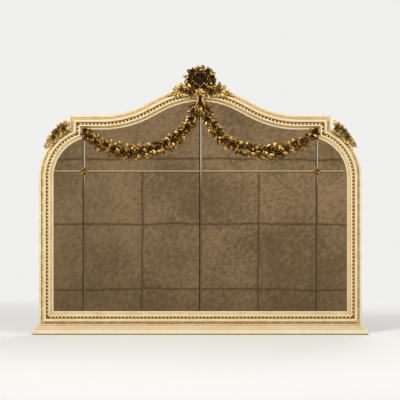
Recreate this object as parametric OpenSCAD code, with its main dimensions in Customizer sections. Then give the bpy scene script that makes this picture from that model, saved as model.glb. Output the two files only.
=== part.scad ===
// Overmantel mirror in the Louis XVI style: a painted and carved frame with a serpentine head,
// eight bevelled panes, gilt swags, crest and corner sprays, on a pine back frame.
// The front faces -Y, the wall is at +Y, and Z = 0 is the underside of the sill.

/* [Frame outline] */
// Width over the two stiles
frame_w = 1936; // [1850:2:2150]
// Height at which the shoulder curves begin
spring_z = 940; // [860:5:1100]
// Radius of a shoulder at its outer edge
shoulder_r = 327; // [300:1:350]
// From the side of the frame in to the outer face of an ear
ear_inset = 181; // [170:1:190]
// Height of the ears above the start of the shoulder curves
ear_rise = 372; // [362:1:390]
// Radius of the hollow sweep at its outer edge
sweep_r = 549; // [500:1:560]
// Radius of the centre arch at its outer edge
arch_r = 555; // [500:1:560]
// Slope of the ramp between the sweep and the arch
ramp_angle = 28; // [24:0.5:30]
// Share that the ramps take of the run between ears and curves. The level rails take the rest.
ramp_share = 0.28; // [0.2:0.01:0.35]

/* [Moulding widths] */
// Flat band at the outer edge
fillet_w = 12; // [10:0.5:14]
// Fluted cove
cove_w = 13; // [11:0.5:14]
// Large round
torus_w = 18; // [16:0.5:21]
// Channel that holds the tongue course
channel_w = 14; // [13:0.5:17]
// Flat band inside the channel
inner_fillet_w = 8; // [6:0.5:10]
// Hollow next to the bead
cavetto_w = 10; // [9:0.5:11]
// Bead at the glass
bead_w = 12; // [10:0.5:14]
// How far the lip laps over the glass
lip_w = 8; // [6:0.5:9]

/* [Depth, measured forward from the wall] */
// Thickness of the pine back frame
back_t = 22; // [20:1:28]
// Thickness of the backboards
board_t = 12; // [9:1:14]
// Thickness of the glass
glass_t = 6; // [4:0.5:6]
// Height of the outer band above the glass
fillet_rise = 10; // [8:0.5:12]
// Step down from the outer band to the cove
cove_step = 5; // [3:0.5:6]
// Depth of the tongue channel below the foot of the large round
channel_d = 4; // [3:0.5:5]

/* [Sill] */
// Height of the sill
sill_h = 49; // [46:1:60]
// How far the sill stands out beyond the frame at each end
sill_out = 33; // [30:1:40]
// Depth of the sill from the wall
sill_d = 110; // [108:1:130]

/* [Enrichment] */
// Radius of one flute
flute_r = 2.8; // [2:0.1:3]
// From one flute to the next
flute_pitch = 12.2; // [10:0.1:14]
// Number of flutes in a group
flutes_in_group = 4; // [2:1:4]
// Length of moulding taken by a group
flute_group = 75; // [68:1:100]
// From one tongue to the next
tongue_pitch = 22; // [18:0.5:30]
// Width of a tongue
tongue_w = 12.5; // [10:0.5:14]

/* [Glass] */
// Height of the level joint in the glass
pane_joint_z = 975; // [900:5:1020]
// Width of the bevel on each side of a joint
bevel_w = 6.5; // [4:0.5:10]
// Depth of the bevel
bevel_d = 1.6; // [0.8:0.1:2]
// Clearance round a pane in the rebate
pane_gap = 0.8; // [0.4:0.1:1.5]
// Radius of a rosette
rosette_r = 22.5; // [18:0.5:28]

/* [Swags] */
// Half thickness of a swag at its fullest
swag_r = 46; // [36:1:50]
// From the inner corner of an ear in to the lowest point of the swag
swag_low_in = 292; // [260:1:320]
// From the inner corner of an ear down to the lowest point of the swag
swag_drop = 139; // [110:1:170]
// Clear space between the glass and the back of a swag
swag_gap = 6; // [4:0.5:10]
// Size of a full leaf
leaf_l = 44; // [34:1:50]
// Radius of a full rose
rose_r = 24; // [18:1:28]

/* [Crest] */
// Half width of the wreath, to the middle of its roses
wreath_rx = 66; // [60:1:72]
// Half height of the wreath, to the middle of its roses
wreath_rz = 51; // [46:1:56]
// Height of the middle of the wreath above the top of the arch
wreath_rise = 47; // [43:1:50]
// Thickness of the wreath
wreath_t = 44; // [38:1:48]

/* [Hanging] */
// Radius of the hole in a hanging plate
hang_r = 6; // [5:0.5:8]
// How far those holes lie below the start of the shoulder curves
hang_drop = 50; // [40:5:120]

/* [Hidden] */
$fn = 96;

CREAM = "#e6d6b0";
OCHRE = "#8f7440";
GILT = "#b98a35";
MIRROR = "#7a6a52";
PINE = "#a98757";
IRON = "#4a4640";

// Levels in the depth, from the wall forward
glass_v = back_t + board_t;
lip_v = glass_v + glass_t;
fillet_v = lip_v + fillet_rise;
cove_v = fillet_v - cove_step;
shelf_v = cove_v + cove_w;
channel_v = shelf_v - channel_d;
inner_fillet_v = shelf_v + 5;
quirk = 2;
cavetto_top_v = inner_fillet_v - quirk;
cavetto_v = cavetto_top_v - cavetto_w;
bead_v = cavetto_v - quirk;
groove_w = 0.5;
bead_r = bead_w / 2 - groove_w;
torus_r = torus_w / 2 - groove_w;
front_v = shelf_v + torus_r;
wall_y = sill_d / 2;

// Lines across the moulding, from the outer edge in
cove_u = fillet_w;
torus_u = cove_u + cove_w;
channel_u = torus_u + torus_w;
inner_fillet_u = channel_u + channel_w;
cavetto_u = inner_fillet_u + inner_fillet_w;
bead_u = cavetto_u + cavetto_w;
sight_u = bead_u + bead_w;
rebate_u = sight_u - lip_w;

// The outline, as seen from the front, at its outer edge
half_w = frame_w / 2;
shoulder_c = [half_w - shoulder_r, spring_z];
ear_x = half_w - ear_inset;
ear_z = spring_z + ear_rise;
curves_x = (arch_r + sweep_r) * sin(ramp_angle);
ramp_l = (ear_x - curves_x) * ramp_share / cos(ramp_angle);
sweep_c = [curves_x + ramp_l * cos(ramp_angle), ear_z + sweep_r];
ramp_start = sweep_c - sweep_r * [sin(ramp_angle), cos(ramp_angle)];
arch_c = [0, ramp_start[1] + ramp_l * sin(ramp_angle) - arch_r * cos(ramp_angle)];
arch_top = arch_c[1] + arch_r;
arch_from = 90 - ramp_angle;
arch_to = 90 + ramp_angle;
function fold_z(u) = spring_z + sqrt(pow(shoulder_r - u, 2) - pow(ear_x - u - shoulder_c[0], 2));
fold = [ear_x, fold_z(0)];
fold_in = [ear_x - sight_u, fold_z(sight_u)];
fold_a = atan2(fold[1] - fold_in[1], fold[0] - fold_in[0]);
shoulder_turn = atan2(fold_in[1] - spring_z, fold_in[0] - shoulder_c[0]) + 2;
joint_x = ear_x - sight_u;
far = 900;

// Half of the outline at inset u, from the start of the shoulder to the top of the arch
function arc(c, r, a0, a1, n) = [for (i = [0:n])
    let (a = a0 + (a1 - a0) * i / n) c + r * [cos(a), sin(a)]];
function fold_turn(u) = atan2(fold_z(u) - spring_z, ear_x - u - shoulder_c[0]);
function head_line(u) = concat(
    [[ear_x - u, ear_z - u]],
    arc(sweep_c, sweep_r + u, 270, 270 - ramp_angle, 10),
    arc(arch_c, arch_r - u, arch_from, 90, 10));
function half_line(u) = concat(arc(shoulder_c, shoulder_r - u, 0, fold_turn(u), 16), head_line(u));
function mirrored(pts) = [for (i = [len(pts) - 1:-1:0]) [-pts[i][0], pts[i][1]]];
function inner_outline(u, foot) = concat(
    [[half_w - u, sill_h + foot]], half_line(u), mirrored(half_line(u)), [[u - half_w, sill_h + foot]]);

// A flat shape seen from the front, from depth v0 to depth v1
module plate(v0, v1) {
    translate([0, wall_y - v0, 0]) rotate([90, 0, 0]) linear_extrude(v1 - v0) children();
}

// Everything past the line through p, on the side that heading a points to
module beyond(p, a) {
    translate([p[0], 0, p[1]]) rotate([0, -a, 0]) translate([0, -far / 2, -far / 2]) cube(far);
}

// A straight length of moulding from p on the outer edge along heading a
module run(p, a) {
    translate([p[0], wall_y, p[1]]) rotate([0, 90 - a, 0]) rotate([0, 0, 180]) children();
}

// Turns a section about c: the outer edge is at radius r, on the outside or the inside of the curve
module bend(c, r, a0, a1, hollow = false) {
    translate([c[0], wall_y, c[1]]) rotate([90, 0, 0]) rotate([0, 0, a0])
        rotate_extrude(angle = a1 - a0) translate([r, 0]) mirror([hollow ? 0 : 1, 0]) children();
}

// Puts a piece of enrichment at angle a on a bend, in the moulding's own directions
module on_bend(c, r, a, hollow = false) {
    translate([c[0], wall_y, c[1]]) rotate([90, 0, 0]) rotate([0, 0, a]) translate([r, 0, 0])
        rotate([0, 0, hollow ? 0 : 180]) rotate([90, 0, 0]) children();
}

// What a half round is cut from: the space over and beside it
module around_half_round(r) {
    difference() {
        translate([-r - 1, 0]) square([2 * r + 2, r + 2]);
        circle(r);
    }
}

// Section of the frame moulding
module moulding_section() {
    difference() {
        polygon([
            [0, back_t], [0, fillet_v], [cove_u, fillet_v], [cove_u, shelf_v], [torus_u, shelf_v],
            [torus_u, front_v + 1], [channel_u, front_v + 1],
            [channel_u, channel_v], [inner_fillet_u, channel_v], [inner_fillet_u, inner_fillet_v],
            [cavetto_u, inner_fillet_v], [cavetto_u, cavetto_top_v], [bead_u, cavetto_top_v],
            [bead_u, bead_v + bead_r + 1], [sight_u, bead_v + bead_r + 1],
            [sight_u, lip_v], [rebate_u, lip_v], [rebate_u, back_t],
        ]);
        translate([cove_u, shelf_v]) intersection() {
            circle(cove_w);
            translate([0, -cove_w]) square([cove_w, cove_w]);
        }
        translate([bead_u, cavetto_top_v]) intersection() {
            circle(cavetto_w);
            translate([-cavetto_w, -cavetto_w]) square(cavetto_w);
        }
        translate([torus_u + torus_w / 2, shelf_v]) around_half_round(torus_r);
        translate([bead_u + bead_w / 2, bead_v]) around_half_round(bead_r);
    }
}

// One flute, cut along the hollow of the cove
module flute() {
    translate([cove_u, shelf_v]) rotate([0, 0, -80])
        rotate_extrude(angle = 66, $fn = 48) translate([cove_w, 0]) circle(flute_r, $fn = 24);
}

// Places of the flutes along a length, in groups
function flute_places(l) = let (n = max(1, round(l / flute_group)))
    [for (i = [0:n - 1]) for (k = [0:flutes_in_group - 1])
        (i + 0.5) * l / n + (k - (flutes_in_group - 1) / 2) * flute_pitch];

module straight_member(p, a, l, s0, s1) {
    run(p, a) difference() {
        linear_extrude(l) moulding_section();
        for (s = flute_places(s1 - s0)) translate([0, 0, s0 + s]) flute();
    }
}

module bent_member(c, r, a0, a1, f0, f1, hollow = false) {
    deg = 180 / PI / (hollow ? r + torus_u : r - torus_u);
    difference() {
        bend(c, r, a0, a1, hollow) moulding_section();
        for (s = flute_places((f1 - f0) / deg)) on_bend(c, r, f0 + s * deg, hollow) flute();
    }
}

// A tongue lies on the channel floor with its foot against the inner fillet. Its tip ends at a low rim.
rim_w = 1.5;
rim_t = 3;
tongue_gap = 0.3;
tongue_l = channel_w - rim_w - tongue_gap;
strip_t = 1.5;
module tongue() {
    r = tongue_w / 2;
    translate([inner_fillet_u, channel_v + strip_t - 0.5, 0]) rotate([0, -90, 0])
        rotate_extrude(angle = 180, $fn = 32)
            polygon([[0, 0], [r * 0.95, 0], [r, tongue_l * 0.4], [r * 0.7, tongue_l * 0.8], [0, tongue_l]]);
}

module strip_section() {
    translate([channel_u, channel_v]) {
        square([channel_w, strip_t]);
        square([rim_w, rim_t]);
    }
}

function tongue_places(l) = let (n = max(1, round(l / tongue_pitch))) [for (i = [0:n - 1]) (i + 0.5) * l / n];

module straight_tongues(p, a, l, s0, s1) {
    run(p, a) {
        linear_extrude(l) strip_section();
        for (s = tongue_places(s1 - s0)) translate([0, 0, s0 + s]) tongue();
    }
}

module bent_tongues(c, r, a0, a1, f0, f1, hollow = false) {
    deg = 180 / PI / (hollow ? r + channel_u : r - channel_u);
    bend(c, r, a0, a1, hollow) strip_section();
    for (s = tongue_places((f1 - f0) / deg)) on_bend(c, r, f0 + s * deg, hollow) tongue();
}

// The members of the right side. A member that ends in a mitre runs past it and is cut back.
corner = [half_w, sill_h];
ear_corner = [ear_x, ear_z];
ear_foot_z = fold_in[1] - 20;

module right_half(left) {
    mirror([left ? 1 : 0, 0, 0]) children();
}

module bottom_rail() {
    color(CREAM) difference() {
        straight_member([-half_w, sill_h], 0, frame_w, torus_u, frame_w - torus_u);
        beyond(corner, 45);
        mirror([1, 0, 0]) beyond(corner, 45);
    }
}

module stile(left) {
    color(CREAM) right_half(left) difference() {
        straight_member(corner, 90, spring_z - sill_h, torus_u, spring_z - sill_h);
        beyond(corner, 225);
    }
}

module shoulder(left) {
    color(CREAM) right_half(left) difference() {
        bent_member(shoulder_c, shoulder_r, 0, shoulder_turn, 0, fold_turn(0));
        beyond(fold, fold_a + 90);
    }
}

module ear(left) {
    l = ear_z - ear_foot_z;
    color(CREAM) right_half(left) difference() {
        straight_member([ear_x, ear_foot_z], 90, l, fold_z(torus_u) - ear_foot_z + 2, l - torus_u);
        beyond(fold, fold_a - 90);
        beyond(ear_corner, 135);
    }
}

module top_rail(left) {
    l = ear_x - sweep_c[0];
    color(CREAM) right_half(left) difference() {
        straight_member(ear_corner, 180, l, torus_u, l);
        beyond(ear_corner, 315);
    }
}

module sweep(left) {
    color(CREAM) right_half(left)
        bent_member(sweep_c, sweep_r, 270 - ramp_angle, 270, 270 - ramp_angle, 270, true);
}

module ramp(left) {
    color(CREAM) right_half(left) straight_member(ramp_start, 180 - ramp_angle, ramp_l, 0, ramp_l);
}

module centre_arch() {
    color(CREAM) bent_member(arch_c, arch_r, arch_from, arch_to, arch_from, arch_to);
}

// The tongue course, in strips that follow the members. The tongues keep clear of the mitres.
tongue_clear = 4;
module bottom_tongues() {
    first = inner_fillet_u + tongue_clear;
    color(OCHRE) difference() {
        straight_tongues([-half_w, sill_h], 0, frame_w, first, frame_w - first);
        beyond(corner, 45);
        mirror([1, 0, 0]) beyond(corner, 45);
    }
}

module stile_tongues(left) {
    l = spring_z - sill_h;
    color(OCHRE) right_half(left) difference() {
        straight_tongues(corner, 90, l, inner_fillet_u + tongue_clear, l);
        beyond(corner, 225);
    }
}

module head_tongues(left) {
    ear_l = ear_z - ear_foot_z;
    rail_l = ear_x - sweep_c[0];
    color(OCHRE) right_half(left) {
        difference() {
            bent_tongues(shoulder_c, shoulder_r, 0, shoulder_turn, 0, fold_turn(channel_u) - 2);
            beyond(fold, fold_a + 90);
        }
        difference() {
            straight_tongues([ear_x, ear_foot_z], 90, ear_l,
                             fold_z(channel_u) - ear_foot_z + tongue_clear,
                             ear_l - inner_fillet_u - tongue_clear / 2);
            beyond(fold, fold_a - 90);
            beyond(ear_corner, 135);
        }
        difference() {
            straight_tongues(ear_corner, 180, rail_l, inner_fillet_u + tongue_clear / 2, rail_l);
            beyond(ear_corner, 315);
        }
        bent_tongues(sweep_c, sweep_r, 270 - ramp_angle, 270, 270 - ramp_angle, 270, true);
        straight_tongues(ramp_start, 180 - ramp_angle, ramp_l, 0, ramp_l);
    }
}

module arch_tongues() {
    color(OCHRE) bent_tongues(arch_c, arch_r, arch_from, arch_to, arch_from, arch_to);
}

// Section of the sill's edge: a band, a hollow and a round, then an upright face
band_out = 10;
band_h = 9;
step_w = 3;
curve_r = (sill_out - band_out - step_w) / 2;
curve_z = sill_h - band_h;
module sill_edge(reach) {
    step_out = reach + band_out + step_w;
    difference() {
        union() {
            square([reach + band_out, sill_h]);
            square([step_out, curve_z]);
            square([reach + sill_out, curve_z - curve_r]);
        }
        translate([step_out + curve_r, curve_z]) circle(curve_r);
        translate([step_out + curve_r, curve_z - 2 * curve_r]) difference() {
            square([curve_r + 1, curve_r + 1]);
            circle(curve_r);
        }
    }
}

module sill() {
    color(CREAM) intersection() {
        translate([0, wall_y, 0]) rotate([90, 0, 0]) linear_extrude(sill_d) {
            sill_edge(half_w);
            mirror([1, 0]) sill_edge(half_w);
        }
        translate([-half_w - sill_out, wall_y, 0]) rotate([90, 0, 90]) linear_extrude(frame_w + 2 * sill_out)
            mirror([1, 0]) sill_edge(sill_d - sill_out);
    }
}

// Glass. Columns run from left to right, and a screw passes where four outer corners meet.
pane_x = [-half_w, -joint_x, 0, joint_x, half_w];
screw_r = 2;
screw_from = 10;
screw_head_r = 5;
screw_head_h = 3;
// The upper inner panes reach under the lip of the ears with a narrow tab
module ear_tabs() {
    for (m = [0, 1]) mirror([m, 0]) translate([joint_x - 1, fold_z(rebate_u + pane_gap)])
        square([lip_w + 1, ear_rise]);
}

module pane_shape(column, upper) {
    inner = column == 1 || column == 2;
    intersection() {
        polygon(inner_outline(rebate_u + pane_gap, rebate_u));
        difference() {
            union() {
                translate([pane_x[column], upper ? pane_joint_z : 0])
                    square([pane_x[column + 1] - pane_x[column], upper ? arch_top : pane_joint_z]);
                if (upper && inner) intersection() {
                    ear_tabs();
                    translate([column == 1 ? -half_w : 0, 0]) square([half_w, arch_top]);
                }
            }
            if (upper && !inner) ear_tabs();
        }
    }
}

// V grooves along the joints, half of each groove on each pane
module bevels() {
    for (x = [-joint_x, 0, joint_x]) translate([x, wall_y - lip_v, 0]) linear_extrude(arch_top)
        polygon([[-bevel_w, -1], [-bevel_w, 0], [0, bevel_d], [bevel_w, 0], [bevel_w, -1]]);
    translate([-half_w, wall_y - lip_v, pane_joint_z]) rotate([90, 0, 90]) linear_extrude(frame_w)
        polygon([[-1, bevel_w], [0, bevel_w], [bevel_d, 0], [0, -bevel_w], [-1, -bevel_w]]);
}

module pane(column, upper) {
    color(MIRROR) difference() {
        plate(glass_v, lip_v) pane_shape(column, upper);
        bevels();
        for (x = [-joint_x, joint_x]) translate([x, wall_y, pane_joint_z]) rotate([90, 0, 0])
            cylinder(r = screw_r + 1, h = lip_v + 1);
    }
}

// Rosette: eight domed petals on a disc, with a raised boss round the screw
rosette_t = 4;
boss_t = rosette_t + 3;
module rosette(left) {
    petal_r = rosette_r * 0.36;
    color(GILT) translate([left ? -joint_x : joint_x, wall_y - lip_v, pane_joint_z]) rotate([90, 0, 0])
        difference() {
            union() {
                cylinder(r = rosette_r * 0.82, h = rosette_t);
                for (i = [0:7]) rotate([0, 0, 45 * i + 22.5]) translate([rosette_r - petal_r, 0, 0])
                    intersection() {
                        cylinder(r = petal_r, h = 2 * petal_r);
                        translate([0, 0, rosette_t + 1 - petal_r]) sphere(petal_r * 1.15);
                    }
                cylinder(r = rosette_r * 0.34, h = boss_t);
            }
            translate([0, 0, -1]) cylinder(r = screw_r, h = boss_t + 2);
        }
}

module rosette_screws() {
    color(GILT) for (x = [-joint_x, joint_x]) translate([x, wall_y, pane_joint_z]) rotate([90, 0, 0]) {
        translate([0, 0, screw_from]) cylinder(r = screw_r, h = lip_v + boss_t - screw_from);
        translate([0, 0, lip_v + boss_t]) cylinder(r = screw_head_r, h = screw_head_h);
    }
}

// Back frame of sawn boards, set back a little from the edge of the moulding
back_u = 8;
back_in = sight_u + 13;
module board_section(u0) {
    translate([u0, 0]) square([back_in - u0, back_t]);
}

module back_sole() {
    color(PINE) run([back_u - half_w, sill_h], 0) linear_extrude(frame_w - 2 * back_u) board_section(0);
}

plate_w = 44;
plate_l = 120;
plate_t = 3;
plate_x = half_w - (back_u + back_in) / 2;
pocket_r = 12;
pocket_d = 15;
plate_screw_r = 2.5;
plate_screw_l = 18;
hang_z = spring_z - hang_drop;
plate_mid_z = hang_z - 25;
hole_out = 14;
hole_rows = [-50, 2];
plate_holes = [for (x = [-hole_out, hole_out]) for (z = hole_rows) [plate_x + x, plate_mid_z + z]];

module plate_blank() {
    translate([plate_x - plate_w / 2, plate_mid_z - plate_l / 2]) square([plate_w, plate_l]);
}

module back_stile(left) {
    foot_z = sill_h + back_in;
    color(PINE) right_half(left) difference() {
        run([half_w, foot_z], 90) linear_extrude(spring_z - foot_z) board_section(back_u);
        plate(-1, plate_t) plate_blank();
        plate(0, plate_t + pocket_d) translate([plate_x, hang_z]) circle(pocket_r);
        plate(0, plate_screw_l) for (p = plate_holes) translate(p) circle(plate_screw_r);
    }
}

module back_shoulder(left) {
    color(PINE) right_half(left) difference() {
        bend(shoulder_c, shoulder_r, 0, shoulder_turn + 4) board_section(back_u);
        beyond(fold, fold_a + 90);
    }
}

function fold_line(u) = [ear_x - u, fold[1] - u * tan(fold_a)];
function level_line(u) = concat(
    [fold_line(u), [ear_x - u, ear_z - u]],
    arc(sweep_c, sweep_r + u, 270, 270 - ramp_angle, 10),
    [arch_c + (arch_r - u) * [sin(ramp_angle), cos(ramp_angle)]]);
function reversed(pts) = [for (i = [len(pts) - 1:-1:0]) pts[i]];

module back_head(left) {
    color(PINE) right_half(left) plate(0, back_t)
        polygon(concat(level_line(back_u), reversed(level_line(back_in))));
}

module back_arch() {
    color(PINE) bend(arch_c, arch_r, arch_from, arch_to) board_section(back_u);
}

board_w = (frame_w - 2 * rebate_u) / 5;
module backboard(n) {
    color(PINE) plate(back_t, glass_v) difference() {
        intersection() {
            polygon(inner_outline(rebate_u + pane_gap, rebate_u));
            translate([(n - 3.5) * board_w, 0]) square([board_w, arch_top]);
        }
        for (x = [-joint_x, joint_x]) translate([x, pane_joint_z]) circle(screw_r);
    }
}

batten_w = 80;
lower_batten_z = 520;
batten_span = half_w - back_in;
module batten(z) {
    color(PINE) difference() {
        plate(0, back_t) intersection() {
            translate([-batten_span, z - batten_w / 2]) square([2 * batten_span, batten_w]);
            polygon(inner_outline(back_in, 0));
        }
        plate(screw_from, back_t + 1) for (x = [-joint_x, joint_x])
            translate([x, pane_joint_z]) circle(screw_r);
    }
}

module hanging_plate(left) {
    color(IRON) right_half(left) difference() {
        plate(0, plate_t) difference() {
            plate_blank();
            translate([plate_x, hang_z]) circle(hang_r);
        }
        for (p = plate_holes) translate([p[0], wall_y, p[1]]) rotate([90, 0, 0]) {
            cylinder(r = plate_screw_r, h = plate_t);
            cylinder(r1 = 2 * plate_screw_r, r2 = plate_screw_r, h = plate_screw_r);
        }
    }
}

module plate_screws() {
    color(IRON) for (left = [false, true]) right_half(left) for (p = plate_holes)
        translate([p[0], wall_y, p[1]]) rotate([90, 0, 0]) {
            cylinder(r = plate_screw_r, h = plate_screw_l);
            cylinder(r1 = 2 * plate_screw_r, r2 = plate_screw_r, h = plate_screw_r);
        }
}

// Carving. A leaf lies along +X with its face to +Z: k times the usual length, w times as wide as it is long.
// It is rounded, with a ridge and a drooping tip.
module leaf(k, w, droop = 0.07) {
    l = leaf_l * k;
    t = leaf_l * 0.2;
    side = [[0.32, 0.48, -0.3], [0.7, 0.4, -0.5]];
    pts = concat(
        [[0, 0, 0], [l * 0.48, 0, t], [l, 0, -l * droop]],
        [for (q = side) for (m = [-1, 1])
            [l * q[0], l * w * q[1] * m, t * q[2] - l * droop * q[0] * q[0]]]);
    hull() polyhedron(points = pts, faces = [[0, 3, 5, 2, 6, 4], [0, 4, 1], [1, 4, 6], [1, 6, 2],
        [1, 2, 5], [1, 5, 3], [1, 3, 0]]);
}

// A rose faces +Z: five open petals round a hollow, and a heart.
// Its rings are [radius at a tip, radius at a notch, height].
rose_rings = [[0.72, 0.62, -0.3], [1, 0.8, 0.2], [0.5, 0.44, 0.02]];
rose_heart = 0.5;
module rose(r) {
    n = 10;
    top = len(rose_rings) - 1;
    heart = (top + 1) * n;
    polyhedron(
        points = concat(
            [for (q = rose_rings) for (k = [0:n - 1]) let (reach = q[k % 2])
                r * [reach * cos(36 * k), reach * sin(36 * k), q[2]]],
            [[0, 0, r * rose_heart]]),
        faces = concat(
            [for (j = [0:top - 1]) for (k = [0:n - 1]) let (m = (k + 1) % n)
                each [[j * n + k, (j + 1) * n + k, (j + 1) * n + m], [j * n + k, (j + 1) * n + m, j * n + m]]],
            [for (k = [0:n - 1]) [top * n + k, heart, top * n + (k + 1) % n]],
            [[for (k = [0:n - 1]) k]]));
}

// A closed form through rings that have m points each
module lofted(rings, m) {
    n = len(rings);
    skin = [for (i = [0:n - 2]) for (k = [0:m - 1]) let (j = (k + 1) % m)
        [i * m + k, (i + 1) * m + k, (i + 1) * m + j, i * m + j]];
    ends = [[for (k = [0:m - 1]) k], [for (k = [m - 1:-1:0]) (n - 1) * m + k]];
    polyhedron(points = [for (q = rings) each q], faces = concat(skin, ends), convexity = 4);
}

// Half a ring in front of depth v, across heading h at p. Its radius is one number for each of its points.
function half_ring(p, h, radii, v, bulge) = let (sides = len(radii) - 1) [for (k = [0:sides])
    let (a = 180 * k / sides, side = radii[k] * cos(a))
        [p[0] - h[1] * side, wall_y - v - radii[k] * bulge * sin(a), p[1] + h[0] * side]];
function heading(pts, i) = let (d = pts[min(i + 1, len(pts) - 1)] - pts[max(i - 1, 0)]) d / norm(d);

// A half-round tube with a flat back at depth v, along points in the front plane
module half_tube(pts, radii, v, bulge = 1.2, sides = 4) {
    lofted([for (i = [0:len(pts) - 1])
        half_ring(pts[i], heading(pts, i), [for (k = [0:sides]) radii[i]], v, bulge)], sides + 1);
}

// A half-round garland of overlapping leaves, whose tips point to its start and alternate from row to row
module garland(pts, radii, v, bulge = 1.1, sides = 7) {
    rows = [for (i = [0:len(pts) - 2]) let (h = heading(pts, i), step = pts[i + 1] - pts[i]) each [
        half_ring(pts[i] + step * 0.04, h,
                  [for (k = [0:sides]) radii[i] * ((i + k) % 2 == 0 ? 1 : 0.74)], v, bulge),
        half_ring(pts[i] + step * 0.94, h, [for (k = [0:sides]) radii[i] * 0.62], v, bulge)]];
    lofted(rows, sides + 1);
}

// Puts a carving at p in the front plane and depth v, headed along a, rolled from edge (0) to front (90)
module carved_at(p, v, a, roll) {
    translate([p[0], wall_y - v, p[1]]) rotate([0, -a, 0]) rotate([roll, 0, 0]) children();
}

function bezier(p, t) = pow(1 - t, 3) * p[0] + 3 * t * pow(1 - t, 2) * p[1] + 3 * t * t * (1 - t) * p[2]
    + pow(t, 3) * p[3];
function scatter(i, k) = sin(137.5 * i + 71 * k);

// A rose k times the usual size at p and depth v, turned and tipped by its number
module rose_at(p, v, k, number) {
    translate([p[0], wall_y - v, p[1]]) rotate([90, 0, 0])
        rotate([14 * scatter(number, 5), 14 * scatter(number, 9), 50 * number]) rose(rose_r * k);
}

// The line of the right swag: from the ear down to its lowest point, then up to the knot
sight_corner = [joint_x, ear_z - sight_u];
knot = [30, arch_top - sight_u - 55];
swag_low = sight_corner - [swag_low_in, swag_drop];
swag_start = sight_corner - [10, 19];
swag_outer = [swag_start, swag_start - [40, 56], swag_low + [112, 0], swag_low];
swag_inner = [swag_low, swag_low - [158, 0], [knot[0] + 55, swag_low[1] + 59], knot];
outer_steps = 12;
inner_steps = 20;
swag_line = concat([for (i = [0:outer_steps - 1]) bezier(swag_outer, i / outer_steps)],
                   [for (i = [0:inner_steps]) bezier(swag_inner, i / inner_steps)]);
swag_n = len(swag_line) - 1;
function fullness(s) = lookup(s, [
    [0, 0.42], [0.1, 0.62], [0.3, 0.92], [0.5, 1], [0.75, 0.86], [0.92, 0.66], [1, 0.5]]);
swag_v = lip_v + swag_gap;

module swag(left) {
    color(GILT) right_half(left) {
        garland(swag_line, [for (i = [0:swag_n]) swag_r * 0.74 * fullness(i / swag_n)], swag_v);
        for (i = [1:swag_n]) let (
            p = swag_line[i],
            d = swag_line[i - 1] - p,
            f = fullness(i / swag_n)) {
            if (i % 3 != 2) carved_at(p, swag_v + swag_r * 0.64 * f, atan2(d[1], d[0]) + 22 * scatter(i, 1),
                                      i % 2 == 0 ? 14 : 166)
                rotate([0, -20 - 8 * scatter(2, i), 0]) leaf(0.5 + 0.4 * f, 0.72);
            if (i % 3 == 2) rose_at(p + [0, 9 * scatter(i, 2)], swag_v + swag_r * 0.76 * f, 0.5 + 0.5 * f, i);
        }
    }
}

// What the carving on the frame rests on: the space that the moulding fills, square in section
module moulding_seat(c, r, a0, a1) {
    bend(c, r + 0.3, a0, a1, $fn = 120) square([channel_u + 0.3, front_v + 0.2]);
}

// Drop: a shell on the arch, two strands that spread from it, and a bell of husks between the swags.
// Its points are [strand thicknesses to the side, share of the way down to the bell's tip].
drop_v = front_v + 0.2;
shell_r = 34;
shell_z = arch_top - shell_r - 2;
shell_t = 5;
drop_l = 118;
strand_r = 7;
strand_v = inner_fillet_v + 0.2;
strand = [[0.4, 0], [0.9, 0.24], [2, 0.52], [3.7, 0.76]];
function drop_at(q) = [q[0] * strand_r, shell_z - q[1] * drop_l];

module centre_drop() {
    color(GILT) {
        translate([0, wall_y - drop_v, shell_z + shell_r * 0.3]) rotate([90, 0, 0])
            cylinder(r = shell_r * 0.66, h = shell_t, $fn = 24);
        for (i = [0:6]) carved_at([0, shell_z], drop_v + shell_t, 15 + 25 * i, 90)
            leaf(shell_r / leaf_l, 0.5, -0.08);
        carved_at([-shell_r * 0.4, shell_z - 2], drop_v + shell_t, 0, 90) leaf(0.64, 0.7, 0);
        for (m = [0, 1]) mirror([m, 0, 0]) {
            half_tube([for (q = strand) drop_at(q)], strand_r * [1, 1, 1, 0.7], strand_v);
            carved_at(drop_at([3.5, 0.7]), strand_v + strand_r * 0.6, 300, 80) leaf(0.8, 0.6);
            carved_at(drop_at([2, 0.56]), strand_v + strand_r * 0.8, 280, 90) leaf(1.4, 0.36);
            carved_at(drop_at([2, 0.75]), swag_v + swag_r * 0.3, 262, 70) leaf(1, 0.5);
        }
        half_tube([for (q = [0.48, 0.73, 1]) drop_at([0, q])], swag_r * [0.26, 0.52, 0.3], swag_v, 1.1);
        carved_at(drop_at([0, 0.66]), swag_v + swag_r * 0.57, 270, 90) leaf(1.4, 0.4, 0.16);
    }
}

// Crest: a wreath of roses and leaves that stands over the arch, with leaves trailing down each side
wreath_c = [0, arch_top + wreath_rise];
wreath_v = fillet_v + wreath_t * 0.55;
wreath_back_t = 6;
function wreath_at(a, k = 1) = wreath_c + k * [wreath_rx * cos(a), wreath_rz * sin(a)];

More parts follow.
